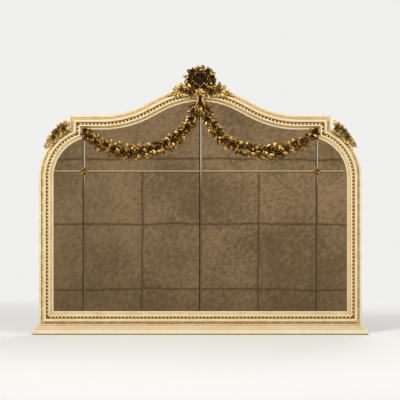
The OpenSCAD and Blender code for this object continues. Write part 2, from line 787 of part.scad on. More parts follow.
module wreath() {
    half_n = 7;
    overlap = 6;
    leaves = 13;
    roses = 9;
    for (m = [0, 1]) mirror([m, 0, 0])
        half_tube([for (i = [0:half_n]) wreath_at(90 + overlap - (180 + 2 * overlap) * i / half_n)],
                  [for (i = [0:half_n]) wreath_t / 2], fillet_v, 1.3);
    plate(fillet_v + 2, fillet_v + 2 + wreath_back_t) polygon([for (i = [0:15]) wreath_at(22.5 * i)]);
    for (i = [0:leaves - 1]) let (a = 360 * i / leaves + 8 + 4 * scatter(i, 1)) {
        carved_at(wreath_at(a, 1.03), wreath_v - wreath_t / 10, a + 16 * scatter(i, 3), 90 + 16 * scatter(i, 4))
            rotate([0, -8, 0]) leaf(0.77, 0.8);
        if (i % 3 == 0) carved_at(wreath_at(a + 9, 0.96), wreath_v + 1, a + 180 + 20 * scatter(i, 6), 90)
            rotate([0, -10, 0]) leaf(0.6, 0.85);
    }
    for (i = [1:roses]) rose_at(wreath_at(90 + 360 * i / roses), wreath_v + rose_r * 0.42, 0.96, i);
}

trail_n = 7;
trail_from = 85;
trail_step = 1.5;
function trail_at(i) = let (a = trail_from - trail_step * i)
    arch_c + (arch_r - wreath_t * (0.1 + 0.034 * i)) * [cos(a), sin(a)];

module trail() {
    crown = trail_at(3);
    garland([for (i = [0:trail_n]) trail_at(trail_n - i)],
            [for (i = [0:trail_n]) wreath_t * (0.3 + 0.036 * i)], front_v, 0.9, 4);
    for (i = [0:trail_n - 1]) {
        turn = (i % 2 == 0 ? 30 : -72) - 4 * i;
        if (i % 3 != 1) carved_at(trail_at(i), front_v + wreath_t * (0.16 - 0.008 * i), turn, 90)
            rotate([0, -10, 0]) leaf(0.9 - 0.04 * i, 0.58);
        if (i % 3 == 1) rose_at(trail_at(i), front_v + rose_r / 2, 0.9 - 0.04 * i, i);
    }
    for (a = [60, 88, 118]) carved_at(crown, front_v - 2, a, 90) leaf(a == 88 ? 1.45 : 1.24, 0.42, 0.03);
    rose_at(crown + rose_r * [0.2, 1], front_v + rose_r * 0.3, 0.8, 3);
}

module crest() {
    reach = 90 - trail_from + trail_step * trail_n + 5;
    color(GILT) difference() {
        union() {
            wreath();
            for (m = [0, 1]) mirror([m, 0, 0]) trail();
        }
        moulding_seat(arch_c, arch_r, 90 - reach, 90 + reach);
        translate([0, wall_y - drop_v - 0.4, shell_z]) rotate([90, 0, 0])
            cylinder(r = shell_r + 1, h = wreath_t * 2);
    }
}

// Corner spray: leaves and roses along the outer edge of a shoulder, fuller towards the ear
spray_from = fold_turn(0) / 2;
spray_to = fold_turn(0) + 0.5;
spray_n = 8;
spray_v = fillet_v - wreath_t * 0.27;
spray_bulge = 1.9;
function spray_turn(i) = spray_from + (spray_to - spray_from) * i / spray_n;
function spray_at(i) = shoulder_c
    + (shoulder_r + wreath_t * (0.1 + 0.3 * i / spray_n)) * [cos(spray_turn(i)), sin(spray_turn(i))];
function spray_r(i) = wreath_t * (0.38 + 0.2 * i / spray_n);

module spray(left) {
    color(GILT) right_half(left) difference() {
        union() {
            garland([for (i = [0:spray_n]) spray_at(i)], [for (i = [0:spray_n]) spray_r(i)],
                    spray_v, spray_bulge, 6);
            for (i = [1:spray_n - 1]) let (
                top = spray_v + spray_r(i) * spray_bulge,
                k = 0.6 + 0.6 * i / spray_n) {
                carved_at(spray_at(i), top - wreath_t * 0.36, spray_turn(i) + 12 + 34 * scatter(i, 1), 90)
                    rotate([0, -8, 0]) leaf(k, 0.6);
                if (i % 3 != 1) carved_at(spray_at(i), top - wreath_t * 0.23,
                                          spray_turn(i) + 180 + 30 * scatter(i, 2), 90)
                    rotate([0, -8, 0]) leaf(k * 0.8, 0.6);
                if (i % 3 == 1) rose_at(spray_at(i), top - rose_r / 4, 0.6 + 0.4 * i / spray_n, i);
            }
        }
        moulding_seat(shoulder_c, shoulder_r, spray_from - 12, spray_to + 12);
        plate(0, front_v + 0.3) translate([0, spring_z]) square([ear_x + 0.3, ear_rise]);
    }
}

sill();
bottom_rail();
stile(true);  // left_stile
stile(false);  // right_stile
shoulder(true);  // left_shoulder
shoulder(false);  // right_shoulder
ear(true);  // left_ear
ear(false);  // right_ear
top_rail(true);  // left_top_rail
top_rail(false);  // right_top_rail
sweep(true);  // left_sweep
sweep(false);  // right_sweep
ramp(true);  // left_ramp
ramp(false);  // right_ramp
centre_arch();
bottom_tongues();
stile_tongues(true);  // left_stile_tongues
stile_tongues(false);  // right_stile_tongues
head_tongues(true);  // left_head_tongues
head_tongues(false);  // right_head_tongues
arch_tongues();
pane(0, false);  // pane_lower_1
pane(1, false);  // pane_lower_2
pane(2, false);  // pane_lower_3
pane(3, false);  // pane_lower_4
pane(0, true);  // pane_upper_1
pane(1, true);  // pane_upper_2
pane(2, true);  // pane_upper_3
pane(3, true);  // pane_upper_4
rosette(true);  // left_rosette
rosette(false);  // right_rosette
rosette_screws();
swag(true);  // left_swag
swag(false);  // right_swag
centre_drop();
crest();
spray(true);  // left_spray
spray(false);  // right_spray
back_sole();
back_stile(true);  // left_back_stile
back_stile(false);  // right_back_stile
back_shoulder(true);  // left_back_shoulder
back_shoulder(false);  // right_back_shoulder
back_head(true);  // left_back_head
back_head(false);  // right_back_head
back_arch();
backboard(1);  // backboard_1
backboard(2);  // backboard_2
backboard(3);  // backboard_3
backboard(4);  // backboard_4
backboard(5);  // backboard_5
batten(pane_joint_z);  // upper_batten
batten(lower_batten_z);  // lower_batten
hanging_plate(true);  // left_hanging_plate
hanging_plate(false);  // right_hanging_plate
plate_screws();
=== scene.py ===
"""Overmantel mirror in the French neoclassical style: painted, gilt and glass finishes, and carved pieces.

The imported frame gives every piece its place. Lengths are in metres, the front faces -Y, and Z = 0 is
the underside of the sill.
"""
import logging
import math
from dataclasses import dataclass
from enum import Enum
from typing import Optional, Sequence, Union

import bpy
import numpy as np
from bpy.types import Material, Node, NodeSocket, NodeTree, Object
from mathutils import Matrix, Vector


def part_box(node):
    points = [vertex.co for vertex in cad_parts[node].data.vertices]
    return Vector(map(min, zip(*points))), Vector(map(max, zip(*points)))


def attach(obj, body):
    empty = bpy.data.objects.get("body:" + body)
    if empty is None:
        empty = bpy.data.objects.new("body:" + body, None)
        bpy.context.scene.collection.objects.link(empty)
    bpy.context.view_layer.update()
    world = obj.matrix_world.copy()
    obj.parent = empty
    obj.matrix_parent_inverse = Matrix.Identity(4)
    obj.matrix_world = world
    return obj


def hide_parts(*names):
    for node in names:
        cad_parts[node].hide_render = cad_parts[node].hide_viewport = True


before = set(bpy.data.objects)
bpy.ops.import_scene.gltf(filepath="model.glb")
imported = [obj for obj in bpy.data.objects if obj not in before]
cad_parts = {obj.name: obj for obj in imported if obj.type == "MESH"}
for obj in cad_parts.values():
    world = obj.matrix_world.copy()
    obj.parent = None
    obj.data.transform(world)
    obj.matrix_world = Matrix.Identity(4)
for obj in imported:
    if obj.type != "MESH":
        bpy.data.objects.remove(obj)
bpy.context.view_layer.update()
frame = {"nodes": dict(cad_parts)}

log = logging.getLogger("mirror")

Colour = tuple[float, float, float]
Settings = Optional[dict[str, Union[str, int, float, bool]]]
Inputs = Optional[dict[Union[int, str], object]]
Amount = Union["Mask", float]
Pair = tuple[float, float]
Triple = Union[Sequence[float], np.ndarray]
Rows = tuple[tuple[float, ...], ...]


def paint(red: int, green: int, blue: int) -> Colour:
    """Turn a colour as it is seen on a screen, 0 to 255, into the linear values that shaders use."""
    shares = (red / 255, green / 255, blue / 255)
    return tuple(((s + 0.055) / 1.055) ** 2.4 if s > 0.04 else s / 12.92 for s in shares)


class Axis(Enum):
    """The three directions of the row frame."""

    X = 0
    Y = 1
    Z = 2


class Mask:
    """A value that changes over a surface. Arithmetic on it adds Math nodes."""

    def __init__(self, nodes: "Nodes", socket: NodeSocket) -> None:
        """Wrap an output socket of a node tree."""
        self.nodes = nodes
        self.socket = socket

    def _maths(self, operation: str, *values: Amount) -> "Mask":
        """Add one Math node.

        Args:
            operation: Name of the Math operation.
            *values: Its operands, in order.

        Returns:
            The result as a mask.
        """
        return self.nodes.mask("ShaderNodeMath", {"operation": operation}, dict(enumerate(values)))

    def __add__(self, other: Amount) -> "Mask":
        """Sum."""
        return self._maths("ADD", self, other)

    def __sub__(self, other: Amount) -> "Mask":
        """Difference."""
        return self._maths("SUBTRACT", self, other)

    def __rsub__(self, other: float) -> "Mask":
        """Difference, reflected."""
        return self._maths("SUBTRACT", other, self)

    def __mul__(self, other: Amount) -> "Mask":
        """Product."""
        return self._maths("MULTIPLY", self, other)

    __radd__ = __add__
    __rmul__ = __mul__

    def power(self, exponent: float) -> "Mask":
        """Raise to a power."""
        return self._maths("POWER", self, exponent)

    def larger(self, other: Amount) -> "Mask":
        """The larger of two values."""
        return self._maths("MAXIMUM", self, other)

    def size(self) -> "Mask":
        """The value without its sign."""
        return self._maths("ABSOLUTE", self)

    def part(self) -> "Mask":
        """What is left of the value beyond whole numbers."""
        return self._maths("FRACT", self)

    def broken(self, noise: "Mask", amount: float) -> "Mask":
        """The value, pushed up and down by noise round 0.5."""
        return self + (noise - 0.5) * amount

    def from_line(self, spacing: float) -> "Mask":
        """The distance to the nearest of evenly spaced lines, one of them at 0."""
        return ((self._maths("DIVIDE", self, spacing) + 0.5).part() - 0.5).size() * spacing

    def eased(self, low: float, high: float) -> "Mask":
        """Ease from 0 at low to 1 at high.

        Args:
            low: Value that gives 0.
            high: Value that gives 1. It may be below low.

        Returns:
            A mask from 0 to 1.
        """
        smooth = {"interpolation_type": "SMOOTHSTEP"}
        ends = {1: min(low, high), 2: max(low, high), 3: float(low > high), 4: float(high > low)}
        return self.nodes.mask("ShaderNodeMapRange", smooth, {0: self, **ends})


class Nodes:
    """A node tree, with one way of adding nodes to it."""

    def __init__(self, tree: NodeTree) -> None:
        """Start with the tree empty."""
        self.tree = tree
        self.tree.nodes.clear()

    def node(self, kind: str, settings: Settings = None, values: Inputs = None) -> Node:
        """Add a node.

        Args:
            kind: The node's type.
            settings: Its settings, which are set first.
            values: Socket index or name to a mask, a socket, a number or a colour.

        Returns:
            The new node.
        """
        made = self.tree.nodes.new(kind)
        for key, value in (settings or {}).items():
            setattr(made, key, value)
        for key, value in (values or {}).items():
            if isinstance(value, Mask):
                value = value.socket
            if isinstance(value, NodeSocket):
                self.tree.links.new(value, made.inputs[key])
            elif isinstance(value, tuple) and made.inputs[key].type == "RGBA":
                made.inputs[key].default_value = (*value, 1.0)
            else:
                made.inputs[key].default_value = value
        return made

    def mask(
        self, kind: str, settings: Settings = None, values: Inputs = None, output: Union[int, str] = 0
    ) -> Mask:
        """Add a node and read one of its outputs as a mask.

        Args:
            kind: The node's type.
            settings: Its settings.
            values: What its sockets get.
            output: Index or name of the output.

        Returns:
            The mask.
        """
        return Mask(self, self.node(kind, settings, values).outputs[output])

    def rays(self, kind: str) -> Mask:
        """1 for rays of one kind, such as Camera, and 0 for all others."""
        return self.mask("ShaderNodeLightPath", output=f"Is {kind} Ray")


class Bench(Nodes):
    """The node tree of one material."""

    hollow_samples = 10
    edge_samples = 6

    def __init__(self, name: str, shown: Colour) -> None:
        """Start a material.

        Args:
            name: The material's name.
            shown: Its plain colour, for viewers without nodes.
        """
        self.material = bpy.data.materials.new(name)
        self.material.use_nodes = True
        self.material.diffuse_color = (*shown, 1.0)
        super().__init__(self.material.node_tree)
        self.place = self.node("ShaderNodeTexCoord").outputs["Object"]

    def stretched(self, x: float, y: float, z: float) -> NodeSocket:
        """The place on the object, scaled by x, y and z."""
        values = {0: self.place, 1: (x, y, z)}
        return self.node("ShaderNodeVectorMath", {"operation": "MULTIPLY"}, values).outputs[0]

    def along(self, axis: Axis) -> Mask:
        """The place along one direction of the row frame, in metres."""
        return self.mask("ShaderNodeSeparateXYZ", None, {0: self.place}, axis.value)

    def facing(self, axis: Axis) -> Mask:
        """How far the surface faces along one direction of the row frame, from -1 to 1."""
        normal = self.node("ShaderNodeNewGeometry").outputs["Normal"]
        return self.mask("ShaderNodeSeparateXYZ", None, {0: normal}, axis.value)

    def each_form(self) -> Mask:
        """A value from 0 to 1 that differs from one carved form to the next."""
        return self.mask("ShaderNodeNewGeometry", output="Random Per Island")

    def cloud(
        self, scale: float, detail: float = 3.0, rough: float = 0.55, place: Optional[NodeSocket] = None
    ) -> Mask:
        """Noise.

        Args:
            scale: Features per metre.
            detail: Octaves.
            rough: How strong the finer octaves are.
            place: Where it is read, if not at the object's own place.

        Returns:
            A mask round 0.5.
        """
        values = {"Vector": place or self.place, "Scale": scale, "Detail": detail, "Roughness": rough}
        return self.mask("ShaderNodeTexNoise", None, values)

    def cracks(self, scale: float, place: NodeSocket) -> Mask:
        """Distance to the nearest line of a net of cracks, in cells.

        Args:
            scale: Cells per metre.
            place: Where it is read.

        Returns:
            A mask that is 0 on a crack.
        """
        lines = {"feature": "DISTANCE_TO_EDGE"}
        return self.mask("ShaderNodeTexVoronoi", lines, {"Vector": place, "Scale": scale}, "Distance")

    def spots(self, scale: float) -> Mask:
        """Distance to the nearest of scattered points, in cells."""
        return self.mask("ShaderNodeTexVoronoi", None, {"Vector": self.place, "Scale": scale}, "Distance")

    def hollow(self, reach: float) -> Mask:
        """How shut in a place is by what stands within reach, from 0 in the open to 1."""
        samples = {"samples": self.hollow_samples}
        return 1 - self.mask("ShaderNodeAmbientOcclusion", samples, {"Distance": reach}, "AO")

    def edge(self, radius: float) -> Mask:
        """How near a place is to a sharp edge, from 0 on the flat.

        Args:
            radius: How far from the edge it still shows, in metres.

        Returns:
            The mask.
        """
        soft = self.node("ShaderNodeBevel", {"samples": self.edge_samples}, {"Radius": radius}).outputs[0]
        hard = self.node("ShaderNodeNewGeometry").outputs["Normal"]
        dot = {"operation": "DOT_PRODUCT"}
        return 1 - self.mask("ShaderNodeVectorMath", dot, {0: soft, 1: hard}, "Value")

    def mixed(self, under: object, over: object, mask: Mask) -> NodeSocket:
        """Lay one colour over another.

        Args:
            under: Colour or socket where the mask is 0.
            over: Colour or socket where the mask is 1.
            mask: How much of the upper colour shows.

        Returns:
            The mixed colour.
        """
        values = {0: mask, 6: under, 7: over}
        return self.node("ShaderNodeMix", {"data_type": "RGBA", "clamp_factor": True}, values).outputs[2]

    def relief(self, height: Mask, depth: float) -> NodeSocket:
        """Raise or sink the surface's shading.

        Args:
            height: Relief, where 1 is raised by depth.
            depth: Height in metres of a full step.

        Returns:
            The new normal.
        """
        values = {"Height": height, "Distance": depth, "Strength": 1.0}
        return self.node("ShaderNodeBump", None, values).outputs[0]

    def closed(self, surface: Node) -> Material:
        """The material, closed with the node that gives its surface."""
        self.node("ShaderNodeOutputMaterial", None, {"Surface": surface.outputs[0]})
        return self.material

    def done(self, **surface: object) -> Material:
        """Close the material with its surface.

        Args:
            **surface: Principled socket names, with _ for a space, and their masks, sockets or values.

        Returns:
            The material.
        """
        values = {key.replace("_", " "): value for key, value in surface.items()}
        return self.closed(self.node("ShaderNodeBsdfPrincipled", None, values))


@dataclass(frozen=True)
class CreamPaint:
    """Old cream paint over gesso, with an ochre glaze left in the hollows and worn edges, dark soil in the
    creases deepened with painted shade, and a painted shadow along the foot.
    """

    name: str = "cream_paint"
    glazed: float = 0.55
    cream: Colour = paint(238, 221, 180)
    warm: Colour = paint(229, 206, 156)
    glaze: Colour = paint(176, 120, 10)
    # Soil colour: used for real dirt specks, and in the creases also as painted shade.
    soil: Colour = paint(98, 64, 12)
    # Dark colour painted along the foot of the sill as the shadow where it meets the floor.
    painted_foot_shadow: Colour = paint(52, 34, 14)
    bare: Colour = paint(248, 236, 206)
    onset: float = 0.24
    on_floor: float = 1.0
    steep: float = 0.25
    ragged: float = 0.1
    line_reach: float = 0.0045
    glaze_reach: float = 0.016
    edge_reach: float = 0.0012
    # Heights at which the painted foot shadow starts, and where it is full.
    foot: float = 0.009
    foot_shadow_full: float = 0.003
    floor_y: float = 0.008
    flank_y: float = 0.0045
    blotches: float = 9.0
    grain: float = 160.0
    brushing: float = 60.0
    specks: float = 95.0
    crackle: float = 210.0
    relief: float = 0.0004

    def material(self) -> Material:
        """Mix the paint. The glaze on the floor of the outer cove is thinned to the share on_floor.

        Returns:
            The material.
        """
        bench = Bench(self.name, self.cream)
        line = bench.hollow(self.line_reach)
        hollow = bench.hollow(self.glaze_reach)
        blotch = bench.cloud(self.blotches, 4.0)
        fine = bench.cloud(self.grain, 4.0, 0.65)
        streak = bench.cloud(self.brushing, 3.0, 0.6, bench.stretched(0.25, 1.0, 1.0))
        body = bench.mixed(self.cream, self.warm, (blotch * 0.7 + fine * 0.5).eased(0.42, 0.85))
        slant = (1 - bench.facing(Axis.Y).size()).broken(fine, self.ragged)
        flank = slant.eased(self.steep, self.steep + 0.35) * hollow.eased(0.01, 0.07)
        kept = bench.along(Axis.Y).eased(self.floor_y, self.flank_y) * (1 - self.on_floor) + self.on_floor
        shut = hollow.broken(fine, self.ragged).eased(self.onset, self.onset + 0.26)
        wash = shut.larger(flank) * self.glazed
        lined = line.broken(fine, self.ragged).eased(0.10, 0.34) * (self.glazed * 0.6 + 0.36)
        body = bench.mixed(body, self.glaze, wash.larger(lined) * kept)
        # Dark soil laid in the tight creases and flutes where they are shut in: partly dirt, partly
        # painted shade where these small recesses fall dark.
        soil_and_crease_shade = line.broken(blotch, self.ragged).eased(0.24, 0.48) * kept
        body = bench.mixed(body, self.soil, soil_and_crease_shade * 0.85)
        worn = bench.edge(self.edge_reach).eased(0.03, 0.2) * (1 - hollow.eased(0.3, 0.6))
        body = bench.mixed(body, self.bare, worn * 0.45)
        speck = bench.spots(self.specks).eased(0.1, 0.04) * bench.cloud(24.0).eased(0.5, 0.62)
        body = bench.mixed(body, self.soil, speck * 0.45)
        crazing = bench.cracks(self.crackle, bench.stretched(1.0, 1.0, 0.55)).eased(0.05, 0.0)
        crazing = crazing * bench.cloud(14.0).eased(0.46, 0.62)
        body = bench.mixed(body, self.glaze, crazing * 0.4)
        # Painted shadow: the paint is darkened within a few millimetres of the floor.
        body = bench.mixed(body, self.painted_foot_shadow, bench.along(Axis.Z).eased(self.foot, self.foot_shadow_full) * 0.9)
        surface = fine * 0.35 + streak * 0.2 - crazing * 0.35 - speck * 0.3
        return bench.done(
            Base_Color=body,
            Specular_IOR_Level=0.3,
            Roughness=(0.52 + hollow * 0.25).broken(blotch, 0.12),
            Normal=bench.relief(surface, self.relief),
        )


@dataclass(frozen=True)
class TongueCourse:
    """The tongue course: cream tongues on a channel floor in a dark glaze colour, with painted shade in
    the recesses between the tongues.
    """

    cream: Colour = paint(230, 206, 150)
    # Dark glaze colour of the channel floor, which is also laid as painted shade between the tongues.
    floor: Colour = paint(112, 80, 14)
    floor_y: float = -0.0008
    top_y: float = -0.0030
    grain: float = 150.0
    reach: float = 0.006
    relief: float = 0.0004

    def material(self) -> Material:
        """Mix the finish.

        Returns:
            The material.
        """
        bench = Bench("tongue_course", self.cream)
        fine = bench.cloud(self.grain, 4.0, 0.6)
        raised = bench.along(Axis.Y).broken(fine, 0.001).eased(self.floor_y, self.top_y)
        body = bench.mixed(self.floor, self.cream, raised)
        # Painted shade: the dark floor colour is laid again, strongly, where the channel is shut in
        # between the tongues.
        shut = bench.hollow(self.reach).broken(fine, 0.3).eased(0.34, 0.8)
        body = bench.mixed(body, self.floor, shut * 0.8)
        return bench.done(
            Base_Color=body,
            Specular_IOR_Level=0.2,
            Roughness=0.75 - raised * 0.2,
            Normal=bench.relief(fine, self.relief),
        )


@dataclass(frozen=True)
class MirrorGlass:
    """Old silvered glass: a warm grey image, faint clouding, and specks where the silver has gone."""

    silver: Colour = (0.60, 0.545, 0.455)
    cloudy: Colour = (0.50, 0.45, 0.36)
    lost: Colour = (0.05, 0.04, 0.025)
    reach: float = 0.035
    clouding: float = 5.0
    grain: float = 70.0
    pinholes: float = 60.0
    waviness: float = 3.0
    relief: float = 0.0003

    def material(self) -> Material:
        """Mix the finish.

        Returns:
            The material.
        """
        bench = Bench("mirror_glass", self.silver)
        near_frame = bench.hollow(self.reach)
        veil = bench.cloud(self.clouding, 4.0, 0.6)
        grain = bench.cloud(self.grain, 5.0, 0.7)
        body = bench.mixed(self.silver, self.cloudy, (veil * 0.7 + grain * 0.4).eased(0.4, 0.8))
        foxed = (grain + near_frame * 0.5).broken(veil, 0.3).eased(0.72, 0.86)
        pin = bench.spots(self.pinholes).eased(0.09, 0.03) * bench.cloud(9.0).eased(0.55, 0.68)
        gone = foxed.larger(pin)
        body = bench.mixed(body, self.lost, gone * 0.75)
        return bench.done(
            Base_Color=body,
            Metallic=1 - gone * 0.6,
            Roughness=0.008 + gone * 0.4 + grain * 0.012,
            Normal=bench.relief(bench.cloud(self.waviness, 1.0), self.relief),
        )


@dataclass(frozen=True)
class Gilding:
    """Water gilding on carved wood: burnished gold on the high parts, dark patina in the recesses deepened
    with painted shade, and faces turned up painted lighter as light from above.
    """

    name: str
    reach: float
    lift: float = 0.0
    bright: Colour = (0.66, 0.445, 0.155)
    mid: Colour = (0.25, 0.131, 0.028)
    deep: Colour = (0.084, 0.034, 0.006)
    # Near-black colour of the recesses: patina, and painted shade.
    patina_and_shade: Colour = (0.009, 0.0030, 0.0006)
    bole: Colour = paint(110, 62, 30)
    gesso: Colour = paint(176, 166, 146)
    blotches: float = 45.0
    grain: float = 320.0
    edge_reach: float = 0.0009
    relief: float = 0.0005

    def material(self) -> Material:
        """Mix the finish.

        Returns:
            The material.
        """
        bench = Bench(self.name, self.bright)
        hollow = bench.hollow(self.reach)
        blotch = bench.cloud(self.blotches, 3.0)
        fine = bench.cloud(self.grain, 4.0, 0.65)
        # Painted light and shade on top of each form's random tone: faces turned up are lightened as if
        # lit from above, and shut-in places are darkened.
        tone_and_painted_light = bench.each_form() * 0.5 + blotch * 0.6 + bench.facing(Axis.Z) * 0.12
        tone_and_painted_light = tone_and_painted_light - hollow * 0.8 + self.lift
        gold = bench.mixed(self.deep, self.mid, tone_and_painted_light.eased(0.05, 0.4))
        gold = bench.mixed(gold, self.bright, tone_and_painted_light.broken(fine, 0.2).eased(0.34, 0.78))
        edge = bench.edge(self.edge_reach).eased(0.04, 0.3)
        gold = bench.mixed(gold, self.bright, edge * (1 - hollow) * 0.7)
        rubbed = edge * fine.eased(0.56, 0.64)
        gold = bench.mixed(gold, self.bole, rubbed * 0.6)
        # Recesses go to the near-black colour: partly patina, partly painted shade.
        dark = hollow.broken(fine, 0.2).eased(0.22, 0.52)
        gold = bench.mixed(gold, self.patina_and_shade, dark)
        back = bench.facing(Axis.Y).eased(0.55, 0.85)
        body = bench.mixed(gold, bench.mixed(self.gesso, self.bole, blotch.eased(0.55, 0.7) * 0.5), back)
        metal = (1 - back) * (1 - dark) * (1 - rubbed * 0.6) * 0.85
        return bench.done(
            Base_Color=body,
            Metallic=metal,
            Specular_IOR_Level=0.06,
            Roughness=0.24 + blotch * 0.2 + dark * 0.4 + back * 0.35,
            Normal=bench.relief(fine * 0.6 + blotch * 0.4, self.relief),
        )


@dataclass(frozen=True)
class Pine:
    """Sawn pine, brown with age. Its scales are features per metre across the grain and along it."""

    grain: Axis
    light: Colour = paint(176, 134, 86)
    dark: Colour = paint(112, 74, 40)
    soil: Colour = paint(58, 42, 28)
    ring_scale: Pair = (26.0, 0.9)
    ring_count: float = 9.0
    fibre_scale: Pair = (520.0, 9.0)
    relief: float = 0.0005

    def streaked(self, bench: Bench, scale: Pair) -> NodeSocket:
        """The place on the object, drawn out along the grain."""
        across, along = scale
        return bench.stretched(*(along if axis is self.grain else across for axis in Axis))

    def material(self) -> Material:
        """Mix the finish.

        Returns:
            The material.
        """
        bench = Bench(f"pine_{self.grain.name.lower()}", self.light)
        rings = bench.cloud(1.0, 2.0, 0.5, self.streaked(bench, self.ring_scale))
        rings = (rings * self.ring_count).part()
        fibres = bench.cloud(1.0, 3.0, 0.7, self.streaked(bench, self.fibre_scale))
        board = bench.cloud(1.3, 1.0)
        late_wood = (rings.eased(0.25, 0.95) * 0.5 + fibres * 0.4).broken(board, 0.5)
        body = bench.mixed(self.light, self.dark, late_wood)
        stain = (bench.hollow(0.03) * 0.8 + bench.cloud(3.0, 4.0) * 0.6).eased(0.42, 0.95)
        return bench.done(
            Base_Color=bench.mixed(body, self.soil, stain * 0.75),
            Roughness=0.72 + fibres * 0.2,
            Normal=bench.relief(fibres * 0.7 + rings * 0.3, self.relief),
        )


@dataclass(frozen=True)
class Iron:
    """Blackened iron with light rust."""

    dark: Colour = paint(62, 58, 54)
    rust: Colour = paint(112, 66, 38)
    flakes: float = 120.0
    pits: float = 700.0
    reach: float = 0.006
    relief: float = 0.0003

    def material(self) -> Material:
        """Mix the finish.

        Returns:
            The material.
        """
        bench = Bench("iron", self.dark)
        rust = (bench.cloud(self.flakes, 5.0, 0.7) + bench.hollow(self.reach) * 0.3).eased(0.5, 0.72)
        pits = bench.cloud(self.pits, 3.0)
        return bench.done(
            Base_Color=bench.mixed(self.dark, self.rust, rust * 0.8),
            Metallic=0.9 - rust * 0.8,
            Roughness=0.42 + rust * 0.4,
            Normal=bench.relief(pits * 0.6 + rust * 0.4, self.relief),
        )


@dataclass(frozen=True)
class Brass:
    """Tarnished brass of an old screw."""

    clean: Colour = (0.42, 0.27, 0.09)
    tarnish: Colour = (0.05, 0.028, 0.010)
    patches: float = 260.0
    grain: float = 900.0
    reach: float = 0.003
    relief: float = 0.0002

    def material(self) -> Material:
        """Mix the finish.

        Returns:
            The material.
        """
        bench = Bench("aged_brass", self.clean)
        fine = bench.cloud(self.grain, 4.0, 0.65)
        dull = (bench.cloud(self.patches, 4.0, 0.65) + bench.hollow(self.reach) * 0.5).eased(0.4, 0.7)
        return bench.done(
            Base_Color=bench.mixed(self.clean, self.tarnish, dull * 0.9),
            Metallic=0.95 - dull * 0.5,
            Roughness=0.3 + dull * 0.35,
            Normal=bench.relief(fine * 0.5 + dull * 0.5, self.relief),
        )


@dataclass(frozen=True)
class ShadeGround:
    """The ground behind the open carving, painted near-black as shade, with lighter flecks of dust."""

    dark: Colour = paint(38, 22, 7)
    dust: Colour = paint(84, 57, 20)
    grain: float = 90.0
    relief: float = 0.001

    def material(self) -> Material:
        """Mix the finish.

        Returns:
            The material.
        """
        bench = Bench("painted_shade_ground", self.dark)
        dust = bench.cloud(self.grain, 5.0, 0.7)
        return bench.done(
            Base_Color=bench.mixed(self.dark, self.dust, dust.eased(0.45, 0.75)),
            Specular_IOR_Level=0.1,
            Roughness=0.7 + dust * 0.2,
            Normal=bench.relief(dust, self.relief),
        )


@dataclass
class Form:
    """Points and faces of a carved shape."""

    points: np.ndarray
    faces: list[tuple[int, ...]]


def sheet_form(front: np.ndarray, back: np.ndarray) -> Form:
    """Close a thin carved shape from two grids of points.

    Args:
        front: Rows by columns by 3, the face.
        back: The same grid on the back.

    Returns:
        The closed form.
    """
    rows, columns = front.shape[:2]
    count = rows * columns
    faces = []
    for r in range(rows - 1):
        for c in range(columns - 1):
            a = r * columns + c
            b, d, e = a + 1, a + columns, a + columns + 1
            faces.append((a, d, e, b))
            faces.append((count + a, count + b, count + e, count + d))
    rim = list(range(columns))
    rim += [r * columns + columns - 1 for r in range(1, rows)]
    rim += [(rows - 1) * columns + c for c in range(columns - 2, -1, -1)]
    rim += [r * columns for r in range(rows - 2, 0, -1)]
    for a, b in zip(rim, rim[1:] + rim[:1]):
        faces.append((a, b, count + b, count + a))
    return Form(np.concatenate([front.reshape(-1, 3), back.reshape(-1, 3)]), faces)


@dataclass(frozen=True)
class Leaf:
    """A carved leaf along +X with its face to +Z: a full blade with a midrib, side ribs and cut edges."""

    length: float
    width: float
    swell: float
    droop: float
    cuts: int
    thick: float = 0.0045

    def form(self) -> Form:
        """Carve the leaf.

        Returns:
            Its form, with the foot at the origin.
        """
        along = np.array([0.0, 0.1, 0.24, 0.4, 0.56, 0.72, 0.87, 1.0])
        across = np.array([-1.0, -0.6, 0.0, 0.6, 1.0])
        s, t = np.meshgrid(along, across, indexing="ij")
        cut = 1 - 0.2 * np.abs(np.sin(math.pi * self.cuts * s)) * np.abs(t) ** 3
        half = self.width / 2 * (0.2 + 0.8 * np.sin(math.pi * s**0.8) ** 0.45) * (1 - s**12) * cut
        back_bone = self.length * (self.swell * np.sin(math.pi * s) - self.droop * s**2)
        ribs = 0.035 * self.width * np.cos(2 * math.pi * (3.5 * s - 0.8 * np.abs(t))) * (np.abs(t) > 0.3)
        groove = 0.07 * self.width * (t == 0) * (s > 0.05) * (s < 0.95)
        crown = back_bone - 0.75 * half * np.abs(t) ** 1.4 + ribs - groove
        front = np.stack([self.length * s, half * t, crown], axis=-1)
        back = front.copy()
        back[..., 2] -= self.thick * (1 - 0.7 * np.abs(t)) * (1 - 0.6 * s) + 0.0004
        return sheet_form(front, back)


@dataclass(frozen=True)
class Petal:
    """One rose petal. It grows along +X from the heart and cups towards +Z."""

    reach: float
    width: float
    lift: float
    roll: float
    thick: float = 0.0024

    def form(self) -> Form:
        """Carve the petal.

        Returns:
            Its form, with the heart at the origin.
        """
        s, t = np.meshgrid(np.array([0.08, 0.4, 0.72, 0.92, 1.0]), np.linspace(-1, 1, 5), indexing="ij")
        half = self.width / 2 * (0.35 + 0.65 * np.sin(math.pi * 0.5 * np.minimum(1, s * 1.15)))
        half = half * np.sqrt(np.maximum(0.12, 1 - (np.maximum(0, s - 0.6) / 0.46) ** 2))
        x = self.reach * s * (1 - 0.1 * t**2)
        z = self.lift * s**1.1 + 0.28 * half * t**2 - self.roll * np.maximum(0, s - 0.72) ** 2 * 6
        front = np.stack([x, half * t, z], axis=-1)
        back = front.copy()
        back[..., 2] -= self.thick * (1 - 0.5 * s)
        back[..., 0] += 0.3 * self.thick
        return sheet_form(front, back)


